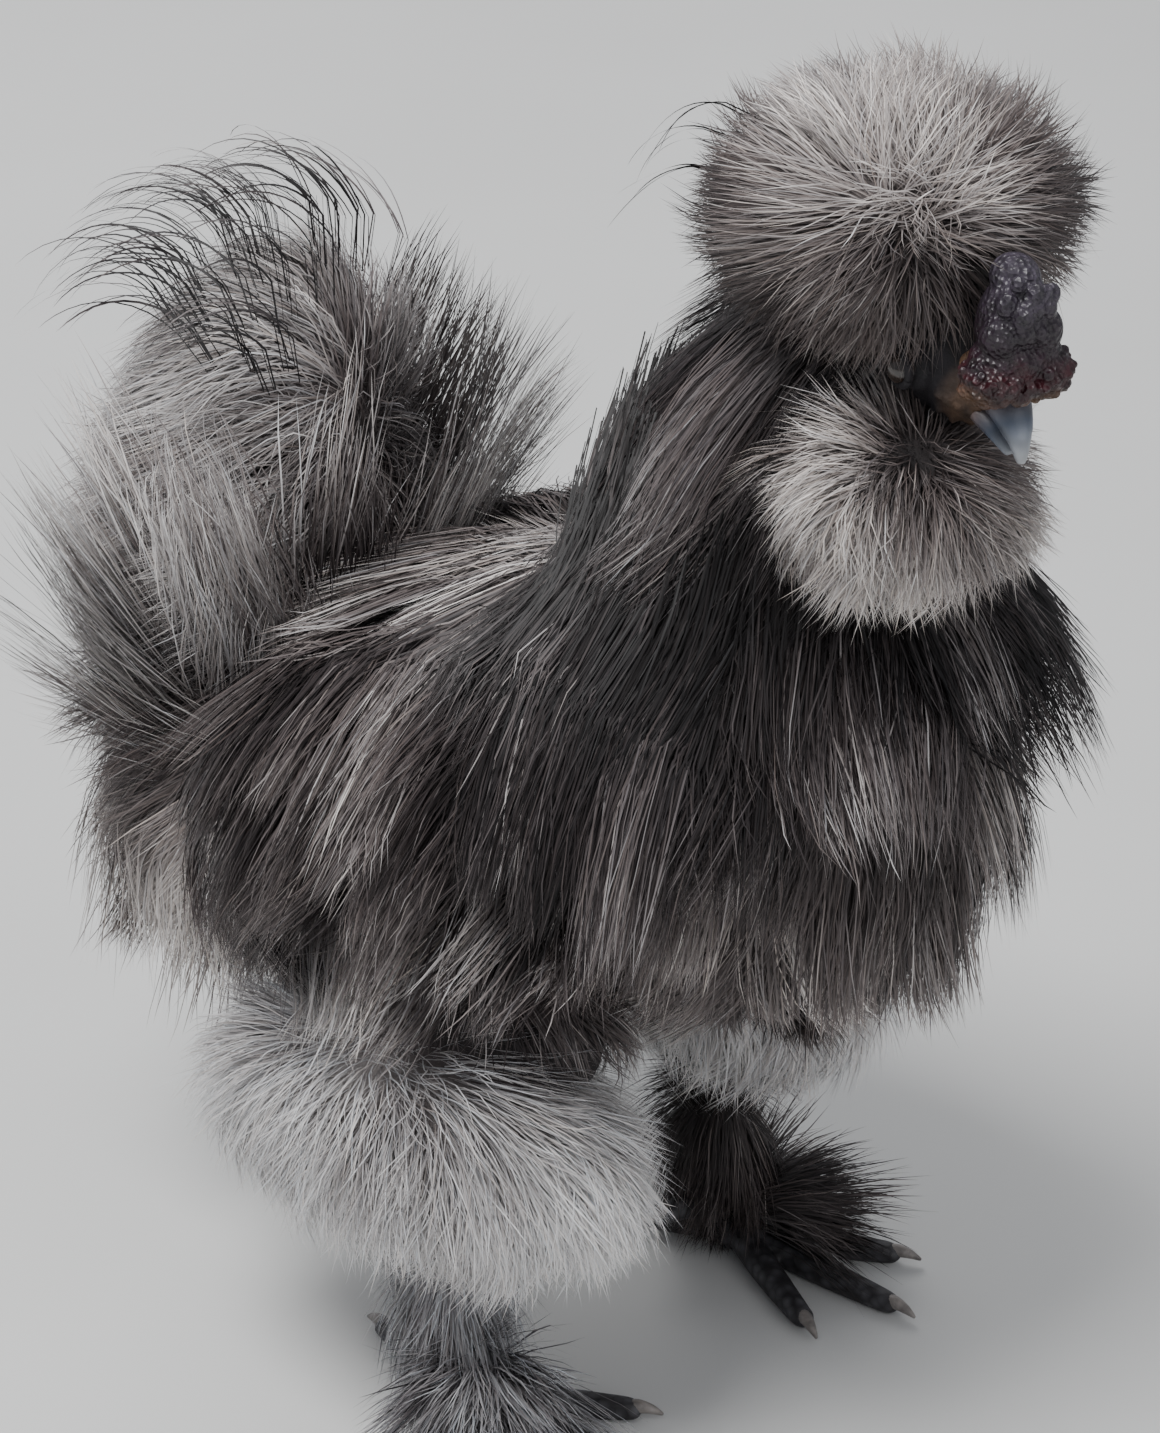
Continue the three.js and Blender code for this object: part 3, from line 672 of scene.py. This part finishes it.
claw_material, tree, shader = material("claw_horn", 0.4)
ramp_colour(tree, shader, noise(tree, 240, 4),
            (0.3, (0.09, 0.08, 0.075)), (0.7, (0.3, 0.27, 0.25)))


# Smooth solids


def mesh_object(name, points, faces):
    mesh = bpy.data.meshes.new(name)
    mesh.from_pydata([tuple(p) for p in metres(points)], [], faces)
    mesh.update()
    return linked(name, mesh)


def ball(form, depth=0.0, sides=40, rings=24):
    points = []
    faces = []
    for i in range(rings + 1):
        theta = math.pi * i / rings
        for k in range(sides):
            phi = 2 * math.pi * k / sides
            across = math.sin(theta)
            points.append((across * math.cos(phi), across * math.sin(phi), math.cos(theta)))
    for i in range(rings):
        for k in range(sides):
            j = (k + 1) % sides
            a, b = i * sides, (i + 1) * sides
            faces.append((a + k, b + k, b + j, a + j))
    return form.point(np.array(points), np.full(len(points), depth)), faces


def limb(path, radii, sides=20):
    """A closed tube along a path; a radius may be a pair, across and up."""
    path = [Vector(p) for p in path]
    points = []
    faces = []
    for i, p in enumerate(path):
        along = (path[min(i + 1, len(path) - 1)] - path[max(i - 1, 0)]).normalized()
        helper = Vector((1, 0, 0)) if abs(along.z) > 0.9 else Vector((0, 0, 1))
        side = helper.cross(along).normalized()
        up = along.cross(side)
        wide, tall = radii[i] if isinstance(radii[i], tuple) else (radii[i], radii[i])
        for k in range(sides):
            a = 2 * math.pi * k / sides
            points.append(p + side * math.cos(a) * wide + up * math.sin(a) * tall)
    for i in range(len(path) - 1):
        for k in range(sides):
            j = (k + 1) % sides
            a, b = i * sides, (i + 1) * sides
            faces.append((a + k, a + j, b + j, b + k))
    faces.append(tuple(range(sides))[::-1])
    faces.append(tuple(range((len(path) - 1) * sides, len(path) * sides)))
    return np.array([tuple(p) for p in points]), faces


def smooth_path(path, radii, steps=5):
    """More points along a path, on a smooth curve through the given ones."""
    out, sizes = [], []
    pts = np.array(path, dtype=float)
    rad = np.array([r if isinstance(r, tuple) else (r, r) for r in radii], dtype=float)
    last = len(pts) - 1
    for i in range(last):
        p0, p1, p2, p3 = pts[max(i - 1, 0)], pts[i], pts[i + 1], pts[min(i + 2, last)]
        for s in range(steps):
            t = s / steps
            curve = 2 * p1 + (p2 - p0) * t + (2 * p0 - 5 * p1 + 4 * p2 - p3) * t**2
            out.append(0.5 * (curve + (3 * p1 - p0 - 3 * p2 + p3) * t**3))
            sizes.append(tuple(rad[i] * (1 - t) + rad[i + 1] * t))
    out.append(pts[last])
    sizes.append(tuple(rad[last]))
    return out, sizes


def fused(name, shapes, look, slot, replaced, voxel, smooth):
    """One skin round several shapes."""
    points = []
    faces = []
    for shape_points, shape_faces in shapes:
        base = len(points)
        points.extend([tuple(p) for p in shape_points])
        faces.extend([tuple(base + i for i in face) for face in shape_faces])
    made = mesh_object(name, points, faces)
    remesh = made.modifiers.new("remesh", "REMESH")
    remesh.mode = "VOXEL"
    remesh.voxel_size = voxel / 1000
    soften = made.modifiers.new("smooth", "SMOOTH")
    soften.factor = 0.5
    soften.iterations = smooth
    graph = bpy.context.evaluated_depsgraph_get()
    mesh = bpy.data.meshes.new_from_object(made.evaluated_get(graph))
    mesh.name = name
    made.modifiers.clear()
    made.data = mesh
    smoothed(mesh)
    placed(made, look, slot, *replaced)
    return made


def points_of(mesh):
    points = np.empty(len(mesh.vertices) * 3)
    mesh.vertices.foreach_get("co", points)
    return points.reshape(-1, 3)


def toned(piece, colour_at):
    """Writes a colour at each point of a piece, from its place in millimetres."""
    points = millimetres(points_of(piece.data))
    colours = np.ones((len(points), 4))
    colours[:, :3] = colour_at(points)
    write_tone(piece.data, colours)


# Head parts


def head_ball(point, radii, sides=24, rings=16):
    return ball(Form(on_head(point), radii, (HEAD_YAW, HEAD_PITCH, 0)), 0, sides, rings)


def shank_path(foot):
    x, y = foot
    top = (x - 8, y * 0.98, HOCK_HEIGHT + 22)
    return [top, (x - 10, y, HOCK_HEIGHT), (x - 4, y, 34), (x, y, 9)]


SHANK_RADII = [7.2, 6.2, 5.2, 5.2]
# Toes: heading in degrees, outward where negative; length; how far the tip is lifted
TOES = [(-24, 44, 0), (2, 52, 0), (30, 42, 0), (164, 38, 0), (120, 20, 13)]
TOE_RADII = [5.0, 4.4, 4.0, 3.1]
# A claw's path, from the middle of the toe's tip: how far out and how far up
CLAW_BENDS = [(-1.5, 0.4), (2.5, 1.0), (6, 0.4), (9, -0.9)]
CLAW_RADII = [2.1, 1.9, 1.3, 0.35]


def toe_path(foot, side, toe):
    heading, length, lift = toe
    turn = math.radians(-side * heading)

    def at(share, z):
        x = foot[0] + math.cos(turn) * length * share
        return (x, foot[1] + math.sin(turn) * length * share, z)

    return [at(0.06, 8), at(0.3, 4.6 + lift * 0.5), at(0.65, 3.4 + lift), at(1, 3 + lift)]


# Skin under the coat

# How far below each form's outside its core lies
CREST_COAT, BEARD_COAT, NECK_COAT, TORSO_COAT, BREAST_COAT = 17, 11, 15, 11, 13
REAR_COAT, TAIL_COAT, THIGH_COAT, WING_COAT, HIP_COAT = 16, 20, 14, 6, 6
CORES = [
    (CREST, CREST_COAT, "crest"),
    (BEARD, BEARD_COAT, "beard"),
    (NECK, NECK_COAT, "neck"),
    (TORSO, TORSO_COAT, "back"),
    (BREAST, BREAST_COAT, "breast"),
    (REAR, REAR_COAT, "rear"),
    (TAIL, TAIL_COAT, "tail"),
    (THIGH_RIGHT, THIGH_COAT, "thigh"),
    (THIGH_LEFT, THIGH_COAT, "thigh"),
    (WING_RIGHT, WING_COAT, "wing"),
    (WING_LEFT, WING_COAT, "wing"),
    (HIP_RIGHT, HIP_COAT, "hip"),
    (HIP_LEFT, HIP_COAT, "hip"),
]
shapes = [ball(form, coat + 1) for form, coat, _ in CORES]
shapes.append(head_ball((0, 0, 0), (22, 15, 15.5)))
for foot in (RIGHT_FOOT_AT, LEFT_FOOT_AT):
    shapes.append(limb(*smooth_path(shank_path(foot), SHANK_RADII)))
SKINNED = ["crest", "beard", "neck", "torso", "tail"]
SKINNED += [f"{part}_{side}" for part in ("wing", "thigh", "shank") for side in ("left", "right")]
skin = fused("skin", shapes, down_material, "torso", SKINNED, voxel=2.4, smooth=6)
SKIN_BLEND = 18  # how sharply one region's skin gives way to the next
SKIN_DARKER = 0.16
SKIN_WARMTH = 0.25


def skin_colour(points):
    total = np.zeros(len(points))
    tone = np.zeros(len(points))
    for form, coat, region in CORES:
        near = np.exp(-np.abs(form.share(points, -coat) - 1) * SKIN_BLEND) + 1e-6
        total += near
        tone += near * (tone_at(region, points) - SKIN_DARKER)
    return tone_to_colour(tone / total, np.full(len(points), SKIN_WARMTH))


toned(skin, skin_colour)

# Coat, region by region

FACE = Form((136, -34, 310), (25, 22, 23), (-30, 20, 0))
crest = Coat("coat_crest")


def crest_keep(middle, tip):
    return (tip[:, 2] > 300) & (FACE.share(tip, 0) >= 1)


combed(crest, "crest", CREST, (0.66, -0.6, 0.45), 1700, 38, CREST_COAT, crest_keep,
       each=14, width=0.34, reach=(-1, 3), silver=0.1, shake=0.2, whorl=0.7, upright=0.5,
       lock=7, close=0.28, gather=0.35, spread=3.4, wisp=1.6, bend=2.8, dark_root=0.06,
       lock_tone=0.05)
crest.build("crest", slot="crest")

wisps = Coat("coat_wisps", ARCHED)
starts = unit_of(np.array([(-0.5, -0.6, 0.6), (-0.62, -0.7, 0.36), (-0.7, -0.6, 0.1)]))
hung(wisps, "sickle", CREST, starts, 10, np.tile((-0.62, -0.62, 0.35), (3, 1)),
     np.array([27.0, 23, 18]), ((CREST, 1),), each=3, spread=1.2, width=0.5, droop=1.6,
     gather=0.6, lock=1, silver=0, curl=1.5, wisp=2.2, lock_tone=0)
wisps.build(slot="crest")

beard = Coat("coat_beard", SHORT)
combed(beard, "beard", BEARD, (0.42, -0.24, 0.88), 1400, 34, BEARD_COAT,
       lambda middle, tip: (tip[:, 2] < 311) & (FACE.share(tip, -4) >= 1),
       each=13, width=0.34, reach=(-1, 3), silver=0.14, shake=0.1, gather=0.4, spread=3,
       lock_tone=0.07, bend=3, wisp=1.8, whorl=0.7, upright=0.45, dark_root=0.12)
beard.build("beard", slot="beard")

neck = Coat("coat_neck")
combed(neck, "neck", NECK, (0.45, 0, 0.9), 1150, 66, NECK_COAT,
       clear_of((CREST, -12), (BEARD, -9)),
       each=16, width=0.42, gather=0.5, reach=(-1, 2.5), silver=0.07, close=0.5, lock=9,
       lock_tone=0.08, whorl=0.2, spread=3.4, over=((TORSO, 1), (BREAST, 1)))
neck.build("neck", slot="neck")

cape = Coat("coat_cape")
starts = units_where(2700, lambda x, y, z: (z > -0.55) & (z < 0.2))
normals = NECK.normal(starts)
aims = normals * [0.3, 0.32, 0] + [-0.2, 0, -0.95]
lengths = rng.uniform(34, 50, len(starts)) + 36 * np.clip(np.abs(starts[:, 1]) * 1.7 - 0.7, 0, 1)
hung(cape, "cape", NECK, starts, 8, aims, lengths,
     ((TORSO, 3), (BREAST, 2), (WING_RIGHT, 2.5), (WING_LEFT, 2.5)),
     each=15, width=0.42, spread=3, gather=0.5, close=0.62, lock=10, silver=0.17,
     lock_tone=0.11, tuft_tone=0.09, droop=2.2, bend=3.5, wisp=2)
cape.build(slot="neck")

breast = Coat("coat_breast")
combed(breast, "breast", BREAST, (0.1, 0, 0.99), 1050, 52, BREAST_COAT,
       clear_of((NECK, -14), (TORSO, -10)),
       each=16, width=0.42, gather=0.5, reach=(-2, 4), silver=0.1, close=0.62, lock=11,
       lock_tone=0.09, tuft_tone=0.08, wisp=2.4, bend=5, spread=3.4, whorl=0.2)
breast.build(slot="torso")

back = Coat("coat_back")
combed(back, "back", TORSO, (0.86, 0, 0.5), 900, 60, TORSO_COAT,
       clear_of((NECK, -14), (BREAST, -10), (REAR, -12), (TAIL, -16)),
       each=16, width=0.42, gather=0.5, reach=(-1.5, 3), silver=0.14, close=0.5, lock=9,
       lock_tone=0.12, wisp=2.4, bend=4, spread=3.4)
back.build("torso", slot="torso")

saddle = Coat("coat_saddle")
starts = units_where(3300, lambda x, y, z: (z > 0.3) & (np.abs(y) > 0.1) & (x > -0.4) & (x < 0.36))
aims = TORSO.normal(starts) * [0.5, 0.9, 0] + [-0.5, 0, -0.5]
hung(saddle, "back", TORSO, starts, 5, aims, rng.uniform(42, 66, len(starts)),
     ((TORSO, 2), (WING_RIGHT, 2), (WING_LEFT, 2), (REAR, 1)), each=14, width=0.42,
     spread=3.2, gather=0.5, close=0.55, lock=9, silver=0.18, lock_tone=0.13, droop=1.1,
     bend=4, wisp=2.4)
saddle.build(slot="torso")

rear = Coat("coat_rear")
combed(rear, "rear", REAR, (0.7, 0, 0.7), 850, 56, REAR_COAT,
       clear_of((TORSO, -10), (TAIL, -16)),
       each=15, width=0.4, gather=0.45, reach=(-1.5, 4), silver=0.12, close=0.4,
       lock_tone=0.08, wisp=2.6, droop=8, bend=4, spread=3.4, whorl=0.2)
starts = units_where(900, lambda x, y, z: (z < -0.1) & (z > -0.8) & (x < 0.5))
hung(rear, "rear", REAR, starts, 10, REAR.normal(starts) * 0.3 + [-0.1, 0, -0.9],
     rng.uniform(14, 44, len(starts)), ((REAR, -2),), each=12, width=0.38, spread=3.4,
     gather=0.4, droop=0.6, silver=0.2, wisp=2.6, bend=4)
rear.build(slot="torso")

tail = Coat("coat_tail")
combed(tail, "tail", TAIL, (0.96, 0, 0.2), 1350, 62, TAIL_COAT,
       clear_of((TORSO, -8), (REAR, -10)),
       each=14, width=0.38, gather=0.42, reach=(-3, 2), silver=0.14, close=0.45, lock=10,
       lock_tone=0.12, wisp=2.8, droop=7, shake=0.2, bend=3.5, spread=3.6, whorl=0.4)
starts = units_where(900, lambda x, y, z: (z < 0.1) & (x > -0.2))
aims = TAIL.normal(starts) * 0.4 + [-0.1, 0, 0.95]
hung(tail, "tail", TAIL, starts, 8, aims, rng.uniform(44, 76, len(starts)), ((TAIL, 2),),
     each=14, width=0.4, spread=3.4, gather=0.45, close=0.5, silver=0.16, lock_tone=0.12,
     droop=-0.3, bend=4, wisp=2.8)
tail.build("tail", slot="tail")

sickles = Coat("coat_sickles", ARCHED)
starts = units_where(330, lambda x, y, z: (z > 0.6) & (x < 0.35) & (y < 0.4))
hung(sickles, "sickle", TAIL, starts, 12, np.tile((-0.62, -0.2, 0.72), (len(starts), 1)),
     rng.uniform(30, 50, len(starts)), ((TAIL, 2),), each=5, width=0.55, spread=1.5, droop=2.2,
     gather=0.5, lock=2, silver=0.4, lock_tone=0.12, bend=2.5, wisp=2)
sickles.build(slot="tail")

for side, wing_form, thigh_form, hip_form, foot in (
    ("right", WING_RIGHT, THIGH_RIGHT, HIP_RIGHT, RIGHT_FOOT_AT),
    ("left", WING_LEFT, THIGH_LEFT, HIP_LEFT, LEFT_FOOT_AT),
):
    near = side == "right"
    sign = -1 if near else 1
    wing = Coat(f"coat_wing_{side}")
    combed(wing, "wing", wing_form, (0.62, sign * 0.1, 0.78), 620 if near else 360, 64, WING_COAT,
           lambda middle, tip, s=sign, f=wing_form: s * tip[:, 1] > s * f.centre[1] - 6,
           each=16, width=0.42, gather=0.5, reach=(-4, 1), silver=0.16, wisp=3, close=0.6,
           lock=10, lock_tone=0.14, droop=16, bend=5, whorl=0.15, spread=3.4)
    starts = units_where(700, lambda x, y, z, s=sign: (z < -0.15) & (s * y > 0.1) & (abs(x) < 0.7))
    aims = np.tile((-0.3, sign * 0.3, -0.9), (len(starts), 1))
    hung(wing, "wing", wing_form, starts, 5, aims, rng.uniform(26, 48, len(starts)),
         ((thigh_form, 1), (TORSO, 2)), each=12, width=0.4, spread=3, gather=0.5, close=0.55,
         silver=0.25, lock=7, lock_tone=0.16, bend=4.5, wisp=2.8)
    wing.build(f"wing_{side}", slot="wing")
    thigh = Coat(f"coat_thigh_{side}")
    combed(thigh, "thigh", thigh_form, (-0.1, sign * 0.2, 0.97), 1300 if near else 500, 44,
           THIGH_COAT, lambda middle, tip: (tip[:, 2] > 40) & (TORSO.share(tip, -10) >= 1),
           each=14, width=0.36, gather=0.34, reach=(-2, 3), silver=0.12, wisp=2.4, close=0.3,
           shake=0.14, whorl=0.5, upright=0.5, spread=3.6, dark_root=0.04, lock_tone=0.04)
    combed(thigh, "hip", hip_form, (0.1, 0, 0.99), 300, 44, HIP_COAT,
           lambda middle, tip, f=thigh_form: (f.share(tip, -6) >= 1) & (TORSO.share(tip, -6) >= 1),
           each=12, width=0.42, reach=(-5, 1), silver=0.14, lock_tone=0.1, close=0.5)
    thigh.build(f"thigh_{side}", slot="thigh")
    shank = Coat(f"coat_shank_{side}", SHORT)
    around = Form((foot[0] - 6, foot[1], 36), (21, 19, 36))
    # The far shank and foot take the darker tones: painted shade
    combed(shank, "shank" if near else "shank_painted_shade", around, (0, 0, 1), 620, 34, 14,
           lambda middle, tip: tip[:, 2] > 2,
           each=11, width=0.4, gather=0.4, reach=(-4, 3), silver=0.1, wisp=2.6)
    low = Form((foot[0] + 4, foot[1], 12), (15, 11, 10))
    starts = units_where(420, lambda x, y, z, s=sign: (s * y > -0.4) & (z > -0.2) & (x > -0.6))
    aims = low.normal(starts) * [1, 1, 0.3] + [0.25, sign * 0.3, 0.15]
    hung(shank, "shank" if near else "shank_painted_shade", low, starts, 4, aims,
         rng.uniform(20, 40, len(starts)), ((low, 0),), each=10, width=0.42, spread=2,
         droop=0.6, gather=0.5, lock=4, silver=0.06, wisp=2.4)
    shank.build(f"shank_{side}", slot="shank")

# Face

SNOUT, SNOUT_RADII = (16, 0, -1), (13, 11, 10)
LID_STEPS = 24


def grain_on(centre, radii, lean):
    """A small grain on a form of the head, mostly on the side that it leans to."""
    way = unit_of(rng.normal(size=3) + lean)
    size = rng.uniform(0.6, 1.2)
    at = np.array(centre) + way * radii
    return head_ball(tuple(at), (size, size, size), 10, 7)


def on_own_axes(points):
    """Points of the head, along the head's own axes."""
    return (points - np.array(HEAD_AT)) @ np.array(HEAD_TURN)


def blotched(colour, points, strength, size, seed):
    return colour * (1 + strength * waves(points, size, seed)[:, None])


face_shapes = [head_ball((0, 0, 0), (24, 16.5, 17)), head_ball(SNOUT, SNOUT_RADII)]
for side in (-1, 1):
    face_shapes.append(head_ball((EYE_AHEAD, side * 12.0, EYE_ABOVE), (6.4, 3.4, 5.6)))
    face_shapes.append(head_ball((4, side * 15, -8), (3.4, 2.2, 4.6)))
for _ in range(60):
    face_shapes.append(grain_on(SNOUT, SNOUT_RADII, [1.1, 0, 0]))
face = fused("face", face_shapes, face_material, "head", ["head"], voxel=0.7, smooth=1)


def face_colour(points):
    """Dark skin, with a brown crust toward the beak."""
    crust = np.clip((on_own_axes(points)[:, 0] - 20) / 5, 0, 1)[:, None]
    dark, brown = np.array((0.010, 0.008, 0.011)), np.array((0.085, 0.048, 0.028))
    return blotched(dark * (1 - crust) + brown * crust, points, 0.35, 4, seed=31)


toned(face, face_colour)

for side, name in ((-1, "right"), (1, "left")):
    at = on_head((EYE_AHEAD, side * EYE_ASIDE, EYE_ABOVE))
    eye = mesh_object(f"eye_ball_{name}", *ball(Form(at, (EYE_RADIUS,) * 3), 0, 32, 20))
    smoothed(eye.data)
    placed(eye, eye_material, "eye", f"eye_{name}")
    # The lids: a ring round the eye, lying on the face
    ring = []
    for k in range(LID_STEPS + 1):
        a = 2 * math.pi * k / LID_STEPS
        ahead, above = EYE_AHEAD + 4.6 * math.cos(a), EYE_ABOVE + 3.7 * math.sin(a)
        ring.append(on_head((ahead, side * 15.9, above)))
    lids = mesh_object(f"lids_{name}", *limb(ring, [1.0] * len(ring), 8))
    smoothed(lids.data)
    toned(lids, face_colour)
    placed(lids, face_material, "head")

# Comb

comb_shapes = [
    head_ball((27, 0, 22), (8, 8, 12)),
    head_ball((31, 0, 15), (7, 11, 7)),
    head_ball((24, 0, 31), (6, 5.5, 5)),
]
for side in (-1, 1):
    comb_shapes.append(head_ball((33, side * 6.5, 12), (6, 6.5, 5.4)))
    comb_shapes.append(head_ball((31, side * 5, 21), (4.6, 4.6, 6)))
# Warts round its foot, warts on its front, and grains on its two lobes
for k in range(26):
    a = (k - 12.5) / 12.5 * 1.3
    size = rng.uniform(1.2, 2.4)
    out = rng.uniform(-0.4, 0.6)
    height = 11.5 + 3.6 * rng.uniform(-1, 1)
    at = (31 + (7.2 + out) * math.cos(a), (11.8 + out) * math.sin(a), height)
    comb_shapes.append(head_ball(at, (size, size, size), 12, 8))
for _ in range(34):
    height = rng.uniform(19, 34)
    size = rng.uniform(1.1, 2.3)
    across = rng.uniform(-5.5, 5.5)
    front = 26.5 + 7.4 * math.sqrt(max(0.1, 1 - ((height - 22) / 14) ** 2 - (across / 9) ** 2))
    comb_shapes.append(head_ball((front, across, height), (size, size, size * 1.3), 12, 8))
for _ in range(110):
    side = rng.choice((-1, 1))
    comb_shapes.append(grain_on((33, side * 6.5, 12), (6.1, 6.6, 5.5), [0.5, side * 0.2, -0.5]))
comb = fused("comb_skin", comb_shapes, comb_material, "comb", ["comb"], voxel=0.42, smooth=1)

# By height on the head: brown crust at the foot, dark red and purple above, and a painted
# highlight at the top
COMB_PALETTE = [
    (5, (0.12, 0.07, 0.035)),
    (8.5, (0.075, 0.038, 0.022)),
    (11.5, (0.03, 0.010, 0.012)),
    (14.5, (0.034, 0.004, 0.008)),
    (17.5, (0.016, 0.006, 0.011)),
    (25, (0.018, 0.011, 0.018)),
    # Painted highlight: the greyish-lavender top of the comb
    (34, (0.042, 0.034, 0.048)),
]


def comb_colour(points):
    height = on_own_axes(points)[:, 2] + 1.2 * waves(points, 7, seed=21)
    return blotched(shade_at(height, COMB_PALETTE), points, 0.3, 3.5, seed=22)


toned(comb, comb_colour)

# Beak

BEAK_TIP = (43, 0, -5)


def beak_colour(points):
    """Pale at the tip, slate along the middle, brown at the root."""
    away = np.linalg.norm(points - np.array(on_head(BEAK_TIP)), axis=-1)
    share = np.clip(away / 20, 0, 1)[:, None]
    tip = np.array([0.34, 0.35, 0.36])
    middle = np.array([0.08, 0.10, 0.14])
    root = np.array([0.15, 0.085, 0.05])
    outer = tip + (middle - tip) * share * 2
    inner = middle + (root - middle) * (share * 2 - 1)
    return blotched(np.where(share < 0.5, outer, inner), points, 0.2, 5, seed=9)


def beak_half(name, path, radii, replaced):
    shape = limb(*smooth_path([on_head(p) for p in path], radii), sides=24)
    half = fused(name, [shape], beak_material, "beak", [replaced], voxel=0.45, smooth=2)
    toned(half, beak_colour)


beak_half("beak_horn_upper", [(20, 0, 4), (29, 0, 4.5), (35, 0, 3), (40, 0, -0.5), BEAK_TIP],
          [(7, 6), (6.2, 5), (4.8, 3.8), (3, 2.6), (0.8, 0.8)], "beak_upper")
beak_half("beak_horn_lower", [(20, 0, -3), (29, 0, -3.2), (34, 0, -4), (38.4, 0, -6)],
          [(5.6, 3), (4.8, 2.8), (3.4, 2.2), (1.2, 0.9)], "beak_lower")

# Feet

for side, foot, sign in (("right", RIGHT_FOOT_AT, -1), ("left", LEFT_FOOT_AT, 1)):
    toe_paths = [toe_path(foot, sign, toe) for toe in TOES]
    parts = [ball(Form((*foot, 6.5), (9, 8, 7.0)))]
    for path in toe_paths:
        parts.append(limb(*smooth_path(path, TOE_RADII)))
        parts.append(ball(Form(path[-1], (3.6, 3.1, 2.9))))
    made = fused(f"foot_skin_{side}", parts, foot_material, "foot", [f"foot_{side}"],
                 voxel=0.8, smooth=3)
    # Nothing goes below the floor
    points = points_of(made.data)
    points[:, 2] = np.maximum(points[:, 2], 0.0002)
    made.data.vertices.foreach_set("co", points.ravel())
    made.data.update()
    for number, path in enumerate(toe_paths, 1):
        tip = Vector(path[-1])
        out = (tip - Vector(path[-2])).normalized()
        bends = [tuple(tip + out * go + Vector((0, 0, up))) for go, up in CLAW_BENDS]
        points, faces = limb(*smooth_path(bends, CLAW_RADII), sides=14)
        points[:, 2] = np.maximum(points[:, 2], 0.3)
        claw = mesh_object(f"claw_horn_{side}_{number}", points, faces)
        smoothed(claw.data)
        placed(claw, claw_material, "claw", f"claw_{side}_{number}")

# Camera, at the photo's angle

AZIMUTH, ELEVATION, DISTANCE, LENS = 36, 28, 950, 94.36
AIM = np.array([0.0, 0.0, 181.0])
yaw, pitch = math.radians(AZIMUTH), math.radians(ELEVATION)
flat = math.cos(pitch)
back_way = np.array([math.sin(yaw) * flat, -math.cos(yaw) * flat, math.sin(pitch)])
camera = linked("camera", bpy.data.cameras.new("camera"))
camera.location = Vector(metres(AIM + back_way * DISTANCE))
camera.rotation_euler = Vector(back_way).to_track_quat("Z", "Y").to_euler()
camera.data.lens = LENS
camera.data.sensor_width = 36
bpy.context.scene.camera = camera

# Floor and light, in metres

FLOOR_HALF = 6
LAMPS_AIM = Vector((0, 0, 0.2))
corners = [(x * FLOOR_HALF, y * FLOOR_HALF, 0) for x, y in ((-1, -1), (1, -1), (1, 1), (-1, 1))]
floor_mesh = bpy.data.meshes.new("floor")
floor_mesh.from_pydata(corners, [], [(0, 1, 2, 3)])
floor = linked("floor", floor_mesh)
floor_material, tree, shader = material("floor_matte", 0.9)
ramp_colour(tree, shader, noise(tree, 3, 3),
            (0.3, (0.60, 0.60, 0.59)), (0.7, (0.64, 0.64, 0.63)))
floor.data.materials.append(floor_material)


def lamp(name, place, power, size):
    light = bpy.data.lights.new(name, "AREA")
    light.energy = power
    light.size = size
    made = linked(name, light)
    made.location = place
    made.rotation_euler = (Vector(place) - LAMPS_AIM).to_track_quat("Z", "Y").to_euler()


lamp("key", (-0.1, -0.8, 2.1), 54, 0.9)
lamp("fill", (1.7, -0.4, 0.9), 7, 1.4)
lamp("rim", (-1.3, 1.0, 1.4), 16, 1.0)
world = bpy.data.worlds.new("studio")
world.use_nodes = True
world.node_tree.nodes["Background"].inputs["Color"].default_value = (0.9, 0.93, 1.0, 1)
world.node_tree.nodes["Background"].inputs["Strength"].default_value = 0.45
bpy.context.scene.world = world
